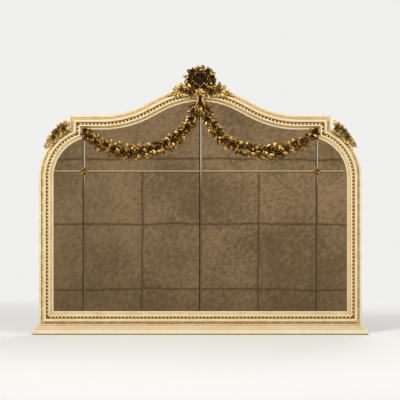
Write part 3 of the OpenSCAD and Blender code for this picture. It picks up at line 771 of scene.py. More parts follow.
def bands(rings: int, around: int, first: int = 0) -> list[tuple[int, ...]]:
    """Join rings of points that follow one another.

    Args:
        rings: Number of rings.
        around: Points in each ring.
        first: Number of the first ring's first point.

    Returns:
        The faces between them.
    """
    starts = range(first, first + (rings - 1) * around, around)
    steps = [(k, (k + 1) % around) for k in range(around)]
    return [(s + a, s + b, s + b + around, s + a + around) for s in starts for a, b in steps]


def ringed_form(points: Sequence[Triple], around: int) -> Form:
    """Close rings of points with a flat face at each end.

    Args:
        points: The points, ring by ring.
        around: Points in each ring.

    Returns:
        The closed form.
    """
    last = len(points) - around
    ends = [tuple(range(around - 1, -1, -1)), tuple(range(last, last + around))]
    return Form(np.array(points), bands(len(points) // around, around) + ends)


def globe_form(radius: float, around: int, levels: int, flat: float) -> Form:
    """A small rounded bud.

    Args:
        radius: Its radius.
        around: Faces around.
        levels: Bands from pole to pole.
        flat: Height over width.

    Returns:
        The form, centred on the origin.
    """
    points = [(0.0, 0.0, -radius * flat)]
    for i in range(1, levels):
        a = math.pi * i / levels - math.pi / 2
        wide, high = radius * math.cos(a), radius * flat * math.sin(a)
        for k in range(around):
            b = 2 * math.pi * k / around
            points.append((wide * math.cos(b), wide * math.sin(b), high))
    points.append((0.0, 0.0, radius * flat))
    last = 1 + (levels - 2) * around
    faces = [(0, 1 + (k + 1) % around, 1 + k) for k in range(around)] + bands(levels - 1, around, 1)
    faces += [(last + k, last + (k + 1) % around, len(points) - 1) for k in range(around)]
    return Form(np.array(points), faces)


def turned_form(
    profile: Sequence[Pair], around: int, radius: float = 1.0, wave: float = 0.0, waves: int = 0
) -> Form:
    """A form turned about +Z.

    Args:
        profile: Share of the radius and height of each ring, from the back to the front.
        around: Faces around.
        radius: The radius.
        wave: How much the radius swings, as a share.
        waves: Number of swings around.

    Returns:
        The closed form.
    """
    points = []
    for share, height in profile:
        for k in range(around):
            b = 2 * math.pi * k / around
            r = radius * share * (1 + wave * math.cos(waves * b))
            points.append((r * math.cos(b), r * math.sin(b), height))
    return ringed_form(points, around)


def swept_form(
    path: np.ndarray, side: np.ndarray, face: np.ndarray, section: Sequence[Pair], sizes: np.ndarray
) -> Form:
    """Sweep a closed section along a path.

    Args:
        path: Points of the path.
        side: Direction of the section's first axis at each point.
        face: Direction of its second axis at each point.
        section: The section's points, anticlockwise.
        sizes: Scale of the section's two axes at each point.

    Returns:
        The closed form.
    """
    points = []
    for at, x, y, (wide, high) in zip(path, side, face, sizes):
        points += [at + x * a * wide + y * b * high for a, b in section]
    return ringed_form(points, len(section))


def unit(v: Triple) -> np.ndarray:
    """The direction of v."""
    v = np.asarray(v, float)
    return v / max(1e-9, float(np.linalg.norm(v)))


def curve_point(controls: Sequence[Sequence[float]], t: float) -> np.ndarray:
    """The point at t on a cubic curve with four control points."""
    p = [np.asarray(c, float) for c in controls]
    return (1 - t) ** 3 * p[0] + 3 * t * (1 - t) ** 2 * p[1] + 3 * t * t * (1 - t) * p[2] + t**3 * p[3]


def headings(path: np.ndarray) -> np.ndarray:
    """The direction of a path at each of its points."""
    heading = np.gradient(path, axis=0)
    return heading / np.linalg.norm(heading, axis=1)[:, None]


def spoke(angle: float) -> np.ndarray:
    """The direction at an angle from the right, as seen from the front."""
    return np.array([math.cos(angle), 0, math.sin(angle)])


def round_spoke(angle: float) -> np.ndarray:
    """The direction square to that spoke, anticlockwise."""
    return np.array([-math.sin(angle), 0, math.cos(angle)])


ACROSS = np.array([1.0, 0.0, 0.0])
FRONT = np.array([0.0, -1.0, 0.0])
UP = np.array([0.0, 0.0, 1.0])
HALF_ROUND = [(math.cos(a), math.sin(a)) for a in np.linspace(0, math.pi, 9)]


@dataclass(frozen=True)
class PetalRing:
    """One ring of a rose's petals. Its sizes are shares of the rose's radius."""

    petals: int
    reach: float
    width: float
    lift: float
    roll: float
    raised: float


class Carving:
    """Carved forms gathered into one piece. Edges sharper than the crisp angle, in degrees, stay crisp."""

    crisp_angle = 42.0
    rose_rings = (
        PetalRing(5, 1.0, 1.14, 0.30, 0.05, 0.0),
        PetalRing(5, 0.66, 0.80, 0.60, 0.02, 0.12),
        PetalRing(3, 0.34, 0.50, 0.52, 0.0, 0.16),
    )

    def __init__(self, name: str, seed: int) -> None:
        """Start a piece.

        Args:
            name: The piece's name.
            seed: Seed of its small irregularities.
        """
        self.name = name
        self.chance = np.random.default_rng(seed)
        self.points: list[np.ndarray] = []
        self.faces: list[tuple[int, ...]] = []
        self.count = 0

    def swing(self, amount: float) -> float:
        """A random value between -amount and amount."""
        return float(self.chance.uniform(-amount, amount))

    def add(self, form: Form, at: Triple, tip: Triple = ACROSS, face: Triple = FRONT) -> None:
        """Put a form in place.

        Args:
            form: The form.
            at: Where its origin goes.
            tip: Where its +X points.
            face: Where its +Z points, as near as it can.
        """
        x = unit(tip)
        y = unit(np.cross(unit(face), x))
        z = np.cross(x, y)
        self.points.append(form.points @ np.array([x, y, z]) + np.asarray(at, float))
        self.faces += [tuple(i + self.count for i in f) for f in form.faces]
        self.count += len(form.points)

    def add_here(self, form: Form) -> None:
        """Add a form that is already in the row frame."""
        self.add(form, (0, 0, 0), ACROSS, UP)

    def leaf(self, at: Triple, tip: Triple, face: Triple, length: float, width: float) -> None:
        """Add a leaf with small irregularities.

        Args:
            at: Its foot.
            tip: Where it points.
            face: Where its face looks.
            length: Its length.
            width: Its width.
        """
        k = 1 + self.swing(0.12)
        swell, droop = 0.13 + self.swing(0.05), 0.06 + self.swing(0.16)
        cuts = int(self.chance.integers(1, 4))
        self.add(Leaf(length * k, width / k, swell, droop, cuts).form(), at, tip, face)

    def rose(self, at: Triple, face: Triple, radius: float) -> None:
        """Add a rose: a ring of open petals, a ring of upright ones and a heart sunk between them.

        Args:
            at: The back of its heart.
            face: Where it looks.
            radius: Its radius.
        """
        face = unit(face)
        side = unit(np.cross(face, UP))
        rise = np.cross(side, face)
        turn = self.swing(math.pi)
        for n, ring in enumerate(self.rose_rings):
            for i in range(ring.petals):
                a = turn + 2 * math.pi * (i + 0.5 * n) / ring.petals + self.swing(0.12)
                way = math.cos(a) * side + math.sin(a) * rise
                lift = radius * (ring.lift + self.swing(0.05))
                form = Petal(radius * ring.reach, radius * ring.width, lift, radius * ring.roll).form()
                self.add(form, np.asarray(at) + face * radius * ring.raised, way, face)
        self.add(globe_form(radius * 0.15, 6, 4, 1.4), np.asarray(at) + face * radius * 0.34, side, face)

    def core(self, path: np.ndarray, wide: np.ndarray, high: np.ndarray) -> tuple[np.ndarray, np.ndarray]:
        """Add the half-round body that a garland's leaves are set on.

        Args:
            path: Points along the middle of its flat back.
            wide: Its half width at each point.
            high: How far it stands forward at each point.

        Returns:
            The heading at each point, and the direction across it.
        """
        heading = headings(path)
        side = np.cross(heading, FRONT)
        sizes = np.stack([wide, high], -1)
        self.add_here(swept_form(path, -side, np.tile(FRONT, (len(path), 1)), HALF_ROUND, sizes))
        return heading, side

    def piece(self, material: Material, nodes: Sequence[str]) -> Object:
        """Make the object, let it ride on the one body and give it its finish.

        Args:
            material: Its finish.
            nodes: The CAD nodes that it stands for.

        Returns:
            The new object.
        """
        mesh = bpy.data.meshes.new(self.name)
        mesh.from_pydata(np.concatenate(self.points).tolist(), [], self.faces)
        mesh.update()
        mesh.shade_smooth()
        mesh.set_sharp_from_angle(angle=math.radians(self.crisp_angle))
        mesh.materials.append(material)
        made = bpy.data.objects.new(self.name, mesh)
        bpy.context.scene.collection.objects.link(made)
        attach(made, "root")
        if nodes:
            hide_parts(*nodes)
        log.info("%s: %d faces", self.name, len(mesh.polygons))
        return made


@dataclass(frozen=True)
class Depths:
    """Depths from the wall forward, and the wall's own place."""

    wall_y: float = 0.055
    glass: float = 0.040
    outer_band: float = 0.050
    lap: float = 0.0615
    front: float = 0.0665

    def at(self, x: float, z: float, depth: float) -> np.ndarray:
        """The point at x and z, at a depth from the wall."""
        return np.array([x, self.wall_y - depth, z])


@dataclass
class Sided:
    """A gilt piece that has a twin on the other side."""

    left: bool
    gilt: Material
    depths: Depths = Depths()

    @property
    def hand(self) -> str:
        """The side's name."""
        return "left" if self.left else "right"

    @property
    def sign(self) -> int:
        """-1 on the left, 1 on the right."""
        return -1 if self.left else 1

    def blank(self, kind: str, seed: int) -> Carving:
        """An empty carving for this side, whose twin has a seed of its own."""
        return Carving(f"{self.hand}_{kind}_carved", seed if self.left else seed + 1)


@dataclass
class Swag(Sided):
    """One garland of leaves and roses, from the ear's inner corner to the centre knot."""

    radius: float = 0.046
    start: Pair = (0.690, 1.208)
    start_pull: Pair = (0.650, 1.156)
    low: Pair = (0.408, 1.092)
    low_pull: float = 0.112
    knot: Pair = (0.032, 1.3392)
    knot_pull: Pair = (0.088, 1.150)
    rise_pull: float = 0.158
    spacing: float = 0.018
    back_depth: float = 0.0465
    core_wide: float = 0.52
    core_high: float = 0.6
    rose_radius: float = 0.48
    rose_lift: float = 0.66
    corner_rose: float = 0.019
    round_leaf: Pair = (0.041, 0.031)
    top_leaf: Pair = (0.035, 0.028)
    # Share of the length, and how full the swag is there.
    fullness: Rows = ((0, 0.55), (0.08, 0.7), (0.3, 0.95), (0.5, 1.0), (0.75, 0.9), (0.92, 0.74), (1, 0.6))
    # X and z of the foot, x and z of the tip's direction, length.
    clump: Rows = (
        (0.690, 1.222, -0.8, 0.4, 0.034),
        (0.696, 1.220, 0.5, 0.8, 0.026),
        (0.698, 1.206, 1.0, -0.5, 0.026),
        (0.684, 1.216, -0.2, 1.0, 0.022),
        (0.692, 1.204, 0.3, -1.0, 0.040),
    )

    def line(self) -> np.ndarray:
        """The middle line as x and z pairs, evenly spaced.

        Returns:
            Points from the ear to the knot.
        """
        low = self.low
        outer = (self.start, self.start_pull, (low[0] + self.low_pull, low[1]), low)
        inner = (low, (low[0] - self.rise_pull, low[1]), self.knot_pull, self.knot)
        rough = [curve_point(outer, i / 40) for i in range(40)]
        rough = np.array(rough + [curve_point(inner, i / 60) for i in range(61)])
        run = np.concatenate([[0], np.cumsum(np.linalg.norm(np.diff(rough, axis=0), axis=1))])
        even = np.linspace(0, run[-1], int(run[-1] / self.spacing) + 1)
        return np.stack([np.interp(even, run, rough[:, k]) for k in (0, 1)], axis=-1)

    def build(self) -> Object:
        """Carve the swag.

        Returns:
            The swag's object.
        """
        carving = self.blank("swag", 11)
        line = self.line()
        n = len(line) - 1
        path = np.array([self.depths.at(self.sign * x, z, self.back_depth) for x, z in line])
        full = np.interp([i / n for i in range(n + 1)], *zip(*self.fullness))
        size = full * self.radius
        heading, side = carving.core(path, size * self.core_wide, size * self.core_high)
        for i in range(1, n):
            self.ring(carving, path[i], heading[i], side[i], full[i], i)
        for i in range(2, n, 3):
            lean = carving.swing(0.6)
            out = unit(FRONT + side[i] * lean * 0.8 + heading[i] * carving.swing(0.3))
            lift = FRONT * self.radius * self.rose_lift * full[i]
            at = path[i] + lift + side[i] * self.radius * 0.55 * lean * full[i]
            carving.rose(at, out, self.radius * self.rose_radius * (0.5 + 0.5 * full[i]))
        for x, z, tip_x, tip_z, length in self.clump:
            at = self.depths.at(self.sign * x, z, self.depths.lap)
            carving.leaf(at, (self.sign * tip_x, -0.15, tip_z), FRONT, length, length * 0.6)
        corner = self.depths.at(self.sign * self.start[0], self.start[1] + 0.008, self.depths.lap)
        carving.rose(corner, FRONT, self.corner_rose)
        return carving.piece(self.gilt, [f"{self.hand}_swag"])

    def ring(
        self, carving: Carving, at: np.ndarray, heading: np.ndarray, side: np.ndarray, full: float, i: int
    ) -> None:
        """Set one ring of leaves round the core, and one leaf that stands out from it.

        Args:
            carving: The piece that they join.
            at: The core's back line here.
            heading: Direction towards the knot.
            side: Direction across the swag.
            full: How full the swag is here.
            i: Number of the ring.
        """
        count = 4 if full > 0.75 else 3
        size = 0.55 + 0.45 * full
        (round_length, round_width), (top_length, top_width) = self.round_leaf, self.top_leaf
        for k in range(count):
            angle = math.radians(-84 + 168 * (k + 0.5 * (i % 2)) / (count - 0.5)) + carving.swing(0.22)
            across = math.sin(angle)
            off = FRONT * (0.12 + 0.5 * math.cos(angle)) + side * 0.42 * across
            foot = at + self.radius * full * off
            tip = side * (across * 0.75 + carving.swing(0.5)) - heading * (0.7 + carving.swing(0.5))
            tip = tip + FRONT * carving.swing(0.3)
            face = FRONT + side * (across * 0.55 + carving.swing(0.35)) + heading * carving.swing(0.35)
            carving.leaf(foot, unit(tip), unit(face), round_length * size, round_width * size)
        turn = carving.swing(math.pi)
        foot = at + self.radius * full * (FRONT * 0.72 + side * carving.swing(0.35))
        tip = heading * math.cos(turn) + side * math.sin(turn) + FRONT * 0.35
        face = FRONT + side * carving.swing(0.5)
        carving.leaf(foot, unit(tip), unit(face), top_length * size, top_width * size)


@dataclass
class CentreDrop:
    """Shell knot on the arch, two ribbon strands, and a bell of husks between the swags."""

    gilt: Material
    painted_lit_gilt: Material
    ground: Material
    depths: Depths = Depths()
    shell_z: float = 1.4452
    shell_radius: float = 0.034
    shell_ribs: int = 9
    bell_top_z: float = 1.3725
    bell_z: float = 1.3045
    core_wide: tuple[float, ...] = (0.009, 0.011, 0.012, 0.014, 0.017, 0.019, 0.019, 0.015, 0.008)
    core_high: float = 0.0185
    strand_x: tuple[float, ...] = (0.0120, 0.0125, 0.020, 0.041)
    strand_drop: tuple[float, ...] = (0.010, 0.046, 0.062, 0.094)
    strand_points: int = 15
    husk_width: float = 0.0185
    rose_radius: float = 0.015
    strand_section: Rows = (
        (-1, -0.25), (-0.5, -0.45), (0, -0.55), (0.5, -0.45), (1, -0.25),
        (1, 0.1), (0.5, 0.45), (0, 0.22), (-0.5, 0.45), (-1, 0.1),
    )
    # Number of husks, half spread in degrees, length, how far below the bell's top.
    husks: Rows = ((4, 74, 0.068, 0.004), (2, 62, 0.056, -0.010), (3, 34, 0.046, 0.024))
    # X, y and z of the direction, length, width.
    knot_leaves: Rows = (
        (1, -0.4, -0.12, 0.034, 0.026), (0.9, -0.3, 0.75, 0.038, 0.02), (0.8, -0.25, -0.7, 0.028, 0.018),
    )
    # X and z of the foot, x and z of the tip's direction, length.
    side_leaves: Rows = (
        (0.014, 0.016, 0.8, -0.25, 0.038),
        (0.020, 0.000, 0.9, -0.5, 0.044),
        (0.024, -0.018, 0.7, -0.9, 0.046),
        (0.034, -0.008, 1.0, 0.2, 0.040),
        (0.040, -0.030, 0.9, -0.2, 0.040),
        (0.018, -0.034, 0.35, -1.0, 0.042),
    )

    def build(self) -> list[Object]:
        """Carve the bell, the shell with its strands, and the core, painted dark as shade, that shows
        between them.

        Returns:
            The drop's objects.
        """
        bell = Carving("centre_drop_bell", 21)
        self.bell(bell)
        knot = Carving("centre_drop_knot", 23)
        self.shell(knot)
        self.strands(knot)
        # The core takes the near-black ground: painted shade between the strands.
        back = Carving("centre_drop_core", 22)
        wide = np.array(self.core_wide)
        heights = np.linspace(self.shell_z - 0.014, self.bell_z + 0.022, len(wide))
        path = np.array([self.depths.at(0, z, self.depths.glass + 0.010) for z in heights])
        back.core(path, wide, np.full(len(wide), self.core_high))
        return [
            bell.piece(self.gilt, ["centre_drop"]),
            knot.piece(self.painted_lit_gilt, []),
            back.piece(self.ground, []),
        ]

    def shell(self, carving: Carving) -> None:
        """Carve the scallop and the knot under it.

        Args:
            carving: The piece that they join.
        """
        front = self.depths.front
        rows, columns = 6, 41
        grid = np.zeros((rows, columns, 3))
        rear = np.zeros((rows, columns, 3))
        for r in range(rows):
            for c in range(columns):
                s = 0.12 + 0.88 * r / (rows - 1)
                a = math.radians(-8 + 196 * c / (columns - 1))
                rib = 0.5 + 0.5 * math.cos(self.shell_ribs * 2 * math.pi * c / (columns - 1))
                radius = self.shell_radius * s * (0.93 + 0.07 * rib * s)
                depth = front + 0.006 + 0.016 * math.sin(math.pi * (0.25 + 0.6 * s)) + 0.0035 * rib * s
                x, z = -radius * math.cos(a), self.shell_z + radius * math.sin(a)
                grid[r, c] = self.depths.at(x, z, depth)
                rear[r, c] = self.depths.at(x, z, front + 0.0005)
        carving.add_here(sheet_form(grid, rear))
        for sign in (-1, 1):
            at = self.depths.at(sign * 0.004, self.shell_z - 0.006, front + 0.008)
            for x, y, z, length, width in self.knot_leaves:
                carving.leaf(at, (sign * x, y, z), FRONT, length, width)
        carving.add(globe_form(0.012, 12, 7, 0.9), self.depths.at(0, self.shell_z - 0.008, front + 0.010))

    def strands(self, carving: Carving) -> None:
        """Carve the two ribbons that spread from the knot.

        Args:
            carving: The piece that they join.
        """
        controls = [(x, self.shell_z - drop) for x, drop in zip(self.strand_x, self.strand_drop)]
        share = np.linspace(0, 1, self.strand_points)
        flat = [curve_point(controls, t) for t in share]
        depth = self.depths.front + 0.004 + 0.005 * np.sin(4 * share)
        sizes = np.stack([0.0050 + 0.0026 * share, np.full(self.strand_points, 0.007)], -1)
        for sign in (-1, 1):
            path = np.array([self.depths.at(sign * x, z, d) for (x, z), d in zip(flat, depth)])
            side = np.cross(headings(path), FRONT)
            facing = np.array([unit(FRONT + side[i] * 0.5 * math.sin(6 * t)) for i, t in enumerate(share)])
            carving.add_here(swept_form(path, side, facing, self.strand_section, sizes))

    def bell(self, carving: Carving) -> None:
        """Carve the bell: rows of long husks round a core, and leaves that spread at its sides.

        Args:
            carving: The piece that they join.
        """
        top = self.depths.at(0, self.bell_top_z, self.depths.glass + 0.010)
        for count, spread, length, lower in self.husks:
            for k in range(count):
                a = math.radians(-spread + 2 * spread * k / (count - 1))
                out = math.cos(a) * FRONT + math.sin(a) * ACROSS
                foot = top + out * 0.016 - UP * lower
                carving.leaf(foot + FRONT * 0.004, unit(-UP + out * 0.12), out, length, self.husk_width)
        for sign in (-1, 1):
            for x, z, tip_x, tip_z, length in self.side_leaves:
                at = top + UP * z + FRONT * (0.018 + 0.1 * x) + ACROSS * (sign * x)
                tip = (sign * tip_x, -0.25, tip_z)
                carving.leaf(at, tip, unit(FRONT + UP * 0.3), length, length * 0.56)
            at = top + FRONT * 0.024 + ACROSS * (sign * 0.046) - UP * 0.036
            carving.rose(at, unit(FRONT + UP * 0.2), self.rose_radius)


@dataclass
class Crest:
    """Wreath of roses and leaves round a hollow whose ground is painted dark as shade, with leaves that
    trail down the arch.
    """

    gilt: Material
    painted_lit_gilt: Material
    ground: Material
    depths: Depths = Depths()
    centre_z: float = 1.5282
    rx: float = 0.066
    rz: float = 0.051
    tube: float = 0.022
    arch_z: float = 0.9262
    arch_radius: float = 0.555
    # Number of leaves, share of the wreath's radius, depth, length, outward or inward, forward.
    rows: Rows = (
        (21, 1.08, 0.056, 0.034, 1, 0.1),
        (15, 1.00, 0.070, 0.034, 1, 0.3),
        (17, 0.93, 0.062, 0.023, -1, 0.25),
    )
    # Inset, how far the leaf leans along the arch, how far outward.
    fan: Rows = ((0.010, 0.6, 0.7), (0.030, 0.6, -0.8), (0.018, 0.9, 0.0))
    # Degrees from the upright, inset, radius.
    trail_roses: Rows = (
        (5.0, 0.010, 0.021), (8.4, 0.020, 0.019), (11.6, 0.006, 0.018), (6.6, 0.036, 0.016),
    )
    # Degrees from the upright, inset, lean.
    standing: Rows = ((12.6, 0.004, -0.1), (14.0, 0.008, 0.3), (13.2, 0.012, 0.9), (11.2, 0.004, 0.2))
    # Degrees on the wreath, share of its radius, which way round.
    over: Rows = (
        (165.0, 1.12, 1), (94.0, 0.95, -1), (27.0, 1.06, 1),
        (-20.0, 0.98, -1), (212.0, 1.12, 1), (-58.0, 1.05, 1),
    )
    # Degrees from the upright, inset, length.
    ends: Rows = ((14.6, 0.020, 0.050), (15.4, 0.008, 0.046), (17.4, 0.015, 0.044))
    rose_count: int = 9
    rose_radius: float = 0.0205
    rose_depth: float = 0.074
    over_depth: float = 0.080
    over_leaf: Pair = (0.031, 0.019)
    trail_rows: int = 15
    trail_leaf: Pair = (0.037, 0.027)
    standing_leaf: Pair = (0.046, 0.025)
    # Radius and height of the dark ground's rings.
    disc: Rows = (
        (0.050, 0.0), (0.052, 0.002), (0.052, 0.005), (0.040, 0.0075), (0.020, 0.0085), (0.006, 0.0088),
    )

    def on_wreath(self, angle: float, share: float, depth: float) -> np.ndarray:
        """A point on the wreath's middle line, or at a share of its radius."""
        x, z = share * self.rx * math.cos(angle), self.centre_z + share * self.rz * math.sin(angle)
        return self.depths.at(x, z, depth)

    def outward(self, angle: float) -> np.ndarray:
        """The direction square to the wreath's middle line, away from the hollow."""
        return unit((self.rz * math.cos(angle), 0, self.rx * math.sin(angle)))

    def on_arch(self, angle: float, inset: float, depth: float) -> np.ndarray:
        """A point on the arch.

        Args:
            angle: Degrees from the upright.
            inset: Distance inside the outer edge.
            depth: Depth from the wall.

        Returns:
            The point.
        """
        a = math.radians(90 - angle)
        r = self.arch_radius - inset
        return self.depths.at(r * math.cos(a), self.arch_z + r * math.sin(a), depth)

    def build(self) -> list[Object]:
        """Carve the wreath, the leaves that trail from it, and its ground, painted dark as shade.

        Returns:
            The crest's objects.
        """
        carving = Carving("crest_carved", 31)
        self.wreath(carving)
        crest = carving.piece(self.gilt, ["crest"])
        # The trails and the leaves over the roses take the gilding painted lighter as light.
        trails = Carving("crest_trails", 33)
        for sign in (-1, 1):
            self.trail(trails, sign)
        for sign in (-1, 1):
            self.trail_end(trails, sign)
        self.over_roses(trails)
        # Ground disc painted near-black as the shade in the wreath's hollow.
        back = Carving("crest_ground", 32)
        disc = turned_form(self.disc, 48, wave=0.02, waves=9)
        disc.points[:, 0] *= 1.2
        disc.points[:, 1] *= 0.98
        back.add(disc, self.depths.at(0, self.centre_z, self.depths.outer_band + 0.0005))
        ground = back.piece(self.ground, [])
        return [crest, trails.piece(self.painted_lit_gilt, []), ground]

    def wreath(self, carving: Carving) -> None:
        """Carve the ring, its leaves and its roses.

        Args:
            carving: The piece that they join.
        """
        turns = np.linspace(0, 2 * math.pi, 41)
        path = np.array([self.on_wreath(a, 1, self.depths.outer_band + 0.0005) for a in turns])
        out = np.array([self.outward(a) for a in turns])
        sizes = np.tile((self.tube * 0.8, self.tube * 0.95), (len(turns), 1))
        carving.add_here(swept_form(path, -out, np.tile(FRONT, (len(turns), 1)), HALF_ROUND, sizes))
        for count, share, depth, length, inward, forward in self.rows:
            for i in range(count):
                a = 2 * math.pi * (i + 0.4 * inward) / count + carving.swing(0.1)
                way = self.outward(a) * inward
                lean = round_spoke(a) * carving.swing(0.9)
                tip = unit(way + FRONT * (forward + carving.swing(0.2)) + lean)
                face = unit(FRONT + way * 0.3 + np.array([carving.swing(0.4), 0, carving.swing(0.4)]))
                carving.leaf(self.on_wreath(a, share, depth), tip, face, length, length * 0.74)
        for i in range(self.rose_count):
            a = math.pi / 2 + 2 * math.pi * i / self.rose_count + carving.swing(0.06)
            at = self.on_wreath(a, 1.02 + carving.swing(0.06), self.rose_depth)
            carving.rose(at, unit(FRONT + spoke(a) * 0.45), self.rose_radius)

    def trail(self, carving: Carving, sign: int) -> None:
        """Carve the leaves and roses on one side of the arch.

        Args:
            carving: The piece that they join.
            sign: -1 for the left side, 1 for the right.
        """
        front = self.depths.front
        length, width = self.trail_leaf
        share = np.linspace(0, 1, 12)
        line = [(4.6 + 11 * t, 0.010 + 0.009 * t) for t in share]
        path = np.array([self.on_arch(sign * a, inset, front + 0.0005) for a, inset in line])
        carving.core(path, 0.018 - 0.012 * share, 0.014 - 0.008 * share)
        for i in range(self.trail_rows):
            t = i / (self.trail_rows - 1)
            a = 3.6 + 12.2 * t
            size = 1 - 0.3 * t
            down = unit(self.on_arch(sign * (a + 1), 0.012, front) - self.on_arch(sign * a, 0.012, front))
            out = unit(self.on_arch(sign * a, 0, front) - self.on_arch(sign * a, 0.02, front))
            for inset, along, spread in self.fan:
                foot = self.on_arch(sign * a, (inset + carving.swing(0.005)) * size, front + 0.005 * size)
                tip = down * (along + carving.swing(0.5)) + out * (spread + carving.swing(0.3))
                tip = tip + FRONT * 0.16
                face = FRONT + out * carving.swing(0.45) + down * carving.swing(0.45)
                carving.leaf(foot, unit(tip), unit(face), length * size, width * size)
        for a, inset, size in self.trail_roses:
            carving.rose(self.on_arch(sign * a, inset, front + 0.010), unit(FRONT + UP * 0.3), size)
        for a, inset, lean in self.standing:
            foot = self.on_arch(sign * a, inset, front - 0.002)
            carving.leaf(foot, unit((sign * lean, -0.25, 1.0)), FRONT, *self.standing_leaf)

    def over_roses(self, carving: Carving) -> None:
        """Carve the leaves that lie over the wreath's roses, in the gilding painted lighter as light.

        Args:
            carving: The piece that they join.
        """
        for angle, share, turned in self.over:
            a = math.radians(angle)
            along = round_spoke(a) * turned
            foot = self.on_wreath(a, share, self.over_depth) - along * 0.012
            tip = unit(along + spoke(a) * 0.3 + FRONT * 0.35)
            carving.leaf(foot, tip, unit(FRONT + UP * 0.4), *self.over_leaf)

    def trail_end(self, carving: Carving, sign: int) -> None:
        """Carve the long leaves that lie along the outer band where a trail ends.

        Args:
            carving: The piece that they join.
            sign: -1 for the left side, 1 for the right.
        """
        depth = self.depths.front - 0.006
        for a, inset, length in self.ends:
            foot = self.on_arch(sign * a, inset, depth)
            along = unit(self.on_arch(sign * (a + 4), inset, depth - 0.002) - foot)
            carving.leaf(foot, along, FRONT, length, length * 0.42)


@dataclass
class Spray(Sided):
    """Leaves and roses along the outer edge of one shoulder, fuller towards the ear."""

    centre: Pair = (0.641, 0.940)
    radius: float = 0.327
    start: float = 33.0
    end: float = 61.5
    rows: int = 13
    leaf_length: float = 0.036
    rose_depth: float = 0.074
    # Lift off the back, how far outward, how far forward.
    fan: Rows = ((0.020, 1.0, 0.0), (0.034, 0.9, 0.3), (0.038, -0.7, 0.25), (0.030, 0.2, 0.1))
    # Degrees from the level, distance outside the shoulder, radius.
    roses: Rows = ((58.5, 0.016, 0.020), (51.0, 0.024, 0.017), (45.0, 0.012, 0.018))

    def build(self) -> Object:
        """Carve the spray.

        Returns:
            The spray's object.
        """
        carving = self.blank("spray", 41)
        share = np.linspace(0, 1, self.rows)
        turns = np.radians(self.start + (self.end - self.start) * share)
        out = np.stack([self.sign * np.cos(turns), np.zeros(self.rows), np.sin(turns)], -1)
        origin = self.depths.at(self.sign * self.centre[0], self.centre[1], 0)
        full = 0.28 + 0.72 * share
        reach = self.radius + 0.004 + 0.012 * share
        path = origin + out * reach[:, None] + FRONT * (self.depths.outer_band - 0.011)
        heading, _ = carving.core(path, 0.019 * full, 0.036 * full)
        for i in range(self.rows):
            for lift, away, forward in self.fan:
                foot = path[i] + out[i] * 0.010 * away + FRONT * lift * full[i]
                tip = out[i] * away + heading[i] * carving.swing(0.9)
                tip = tip + FRONT * (forward + carving.swing(0.2))
                face = FRONT + out[i] * carving.swing(0.5) + heading[i] * carving.swing(0.5)
                length = self.leaf_length * (0.35 + 0.65 * full[i])
                carving.leaf(foot, unit(tip), unit(face), length, length * 0.72)
        for angle, lift, size in self.roses:
            way = spoke(math.radians(angle)) * (self.sign, 1, 1)
            at = origin + way * (self.radius + lift) + FRONT * self.rose_depth
            carving.rose(at, unit(FRONT + way * 0.3), size)
        return carving.piece(self.gilt, [f"{self.hand}_spray"])


@dataclass
class Rosette(Sided):
    """A small round rosette over a joint in the glass."""

    radius: float = 0.0225
    x: float = 0.700
    z: float = 0.975
    petals: int = 8
    # Share of the radius, height.
    disc: Rows = ((0.80, 0.0002), (0.84, 0.0015), (0.80, 0.0035), (0.5, 0.0038), (0.3, 0.0038))
    heart: Rows = ((0.36, 0.003), (0.40, 0.006), (0.36, 0.0082), (0.28, 0.0074), (0.24, 0.006))

    def build(self) -> Object:
        """Carve the rosette.

        Returns:
            The rosette's object.
        """
        carving = self.blank("rosette", 51)
        r = self.radius
        at = self.depths.at(self.sign * self.x, self.z, self.depths.glass)
        carving.add(turned_form(self.disc, 40, r), at)
        petal = Petal(r * 0.78, r * 0.62, 0.0012, 0.004, 0.003).form()
        for i in range(self.petals):
            way = spoke(math.pi * (i + 0.5) / (self.petals / 2))
            carving.add(petal, at + FRONT * 0.0045 + way * r * 0.22, way)
        carving.add(turned_form(self.heart, 32, r, 0.05, 12), at)
        return carving.piece(self.gilt, [f"{self.hand}_rosette"])


@dataclass
class RosetteScrews:
    """The two domed screws that hold the rosettes."""

    brass: Material
    depths: Depths = Depths()
    x: float = Rosette.x
    z: float = Rosette.z
    head: Rows = (
        (0.0018, 0.002), (0.0018, 0.0068), (0.0052, 0.0070), (0.0050, 0.0082),
        (0.0040, 0.0096), (0.0022, 0.0104), (0.0006, 0.0107),
    )

    def build(self) -> Object:
        """Make both screws.

        Returns:
            The screws' object.
        """
        carving = Carving("rosette_screws_domed", 61)
        for x in (-self.x, self.x):
            carving.add(turned_form(self.head, 24), self.depths.at(x, self.z, self.depths.glass))
        return carving.piece(self.brass, ["rosette_screws"])


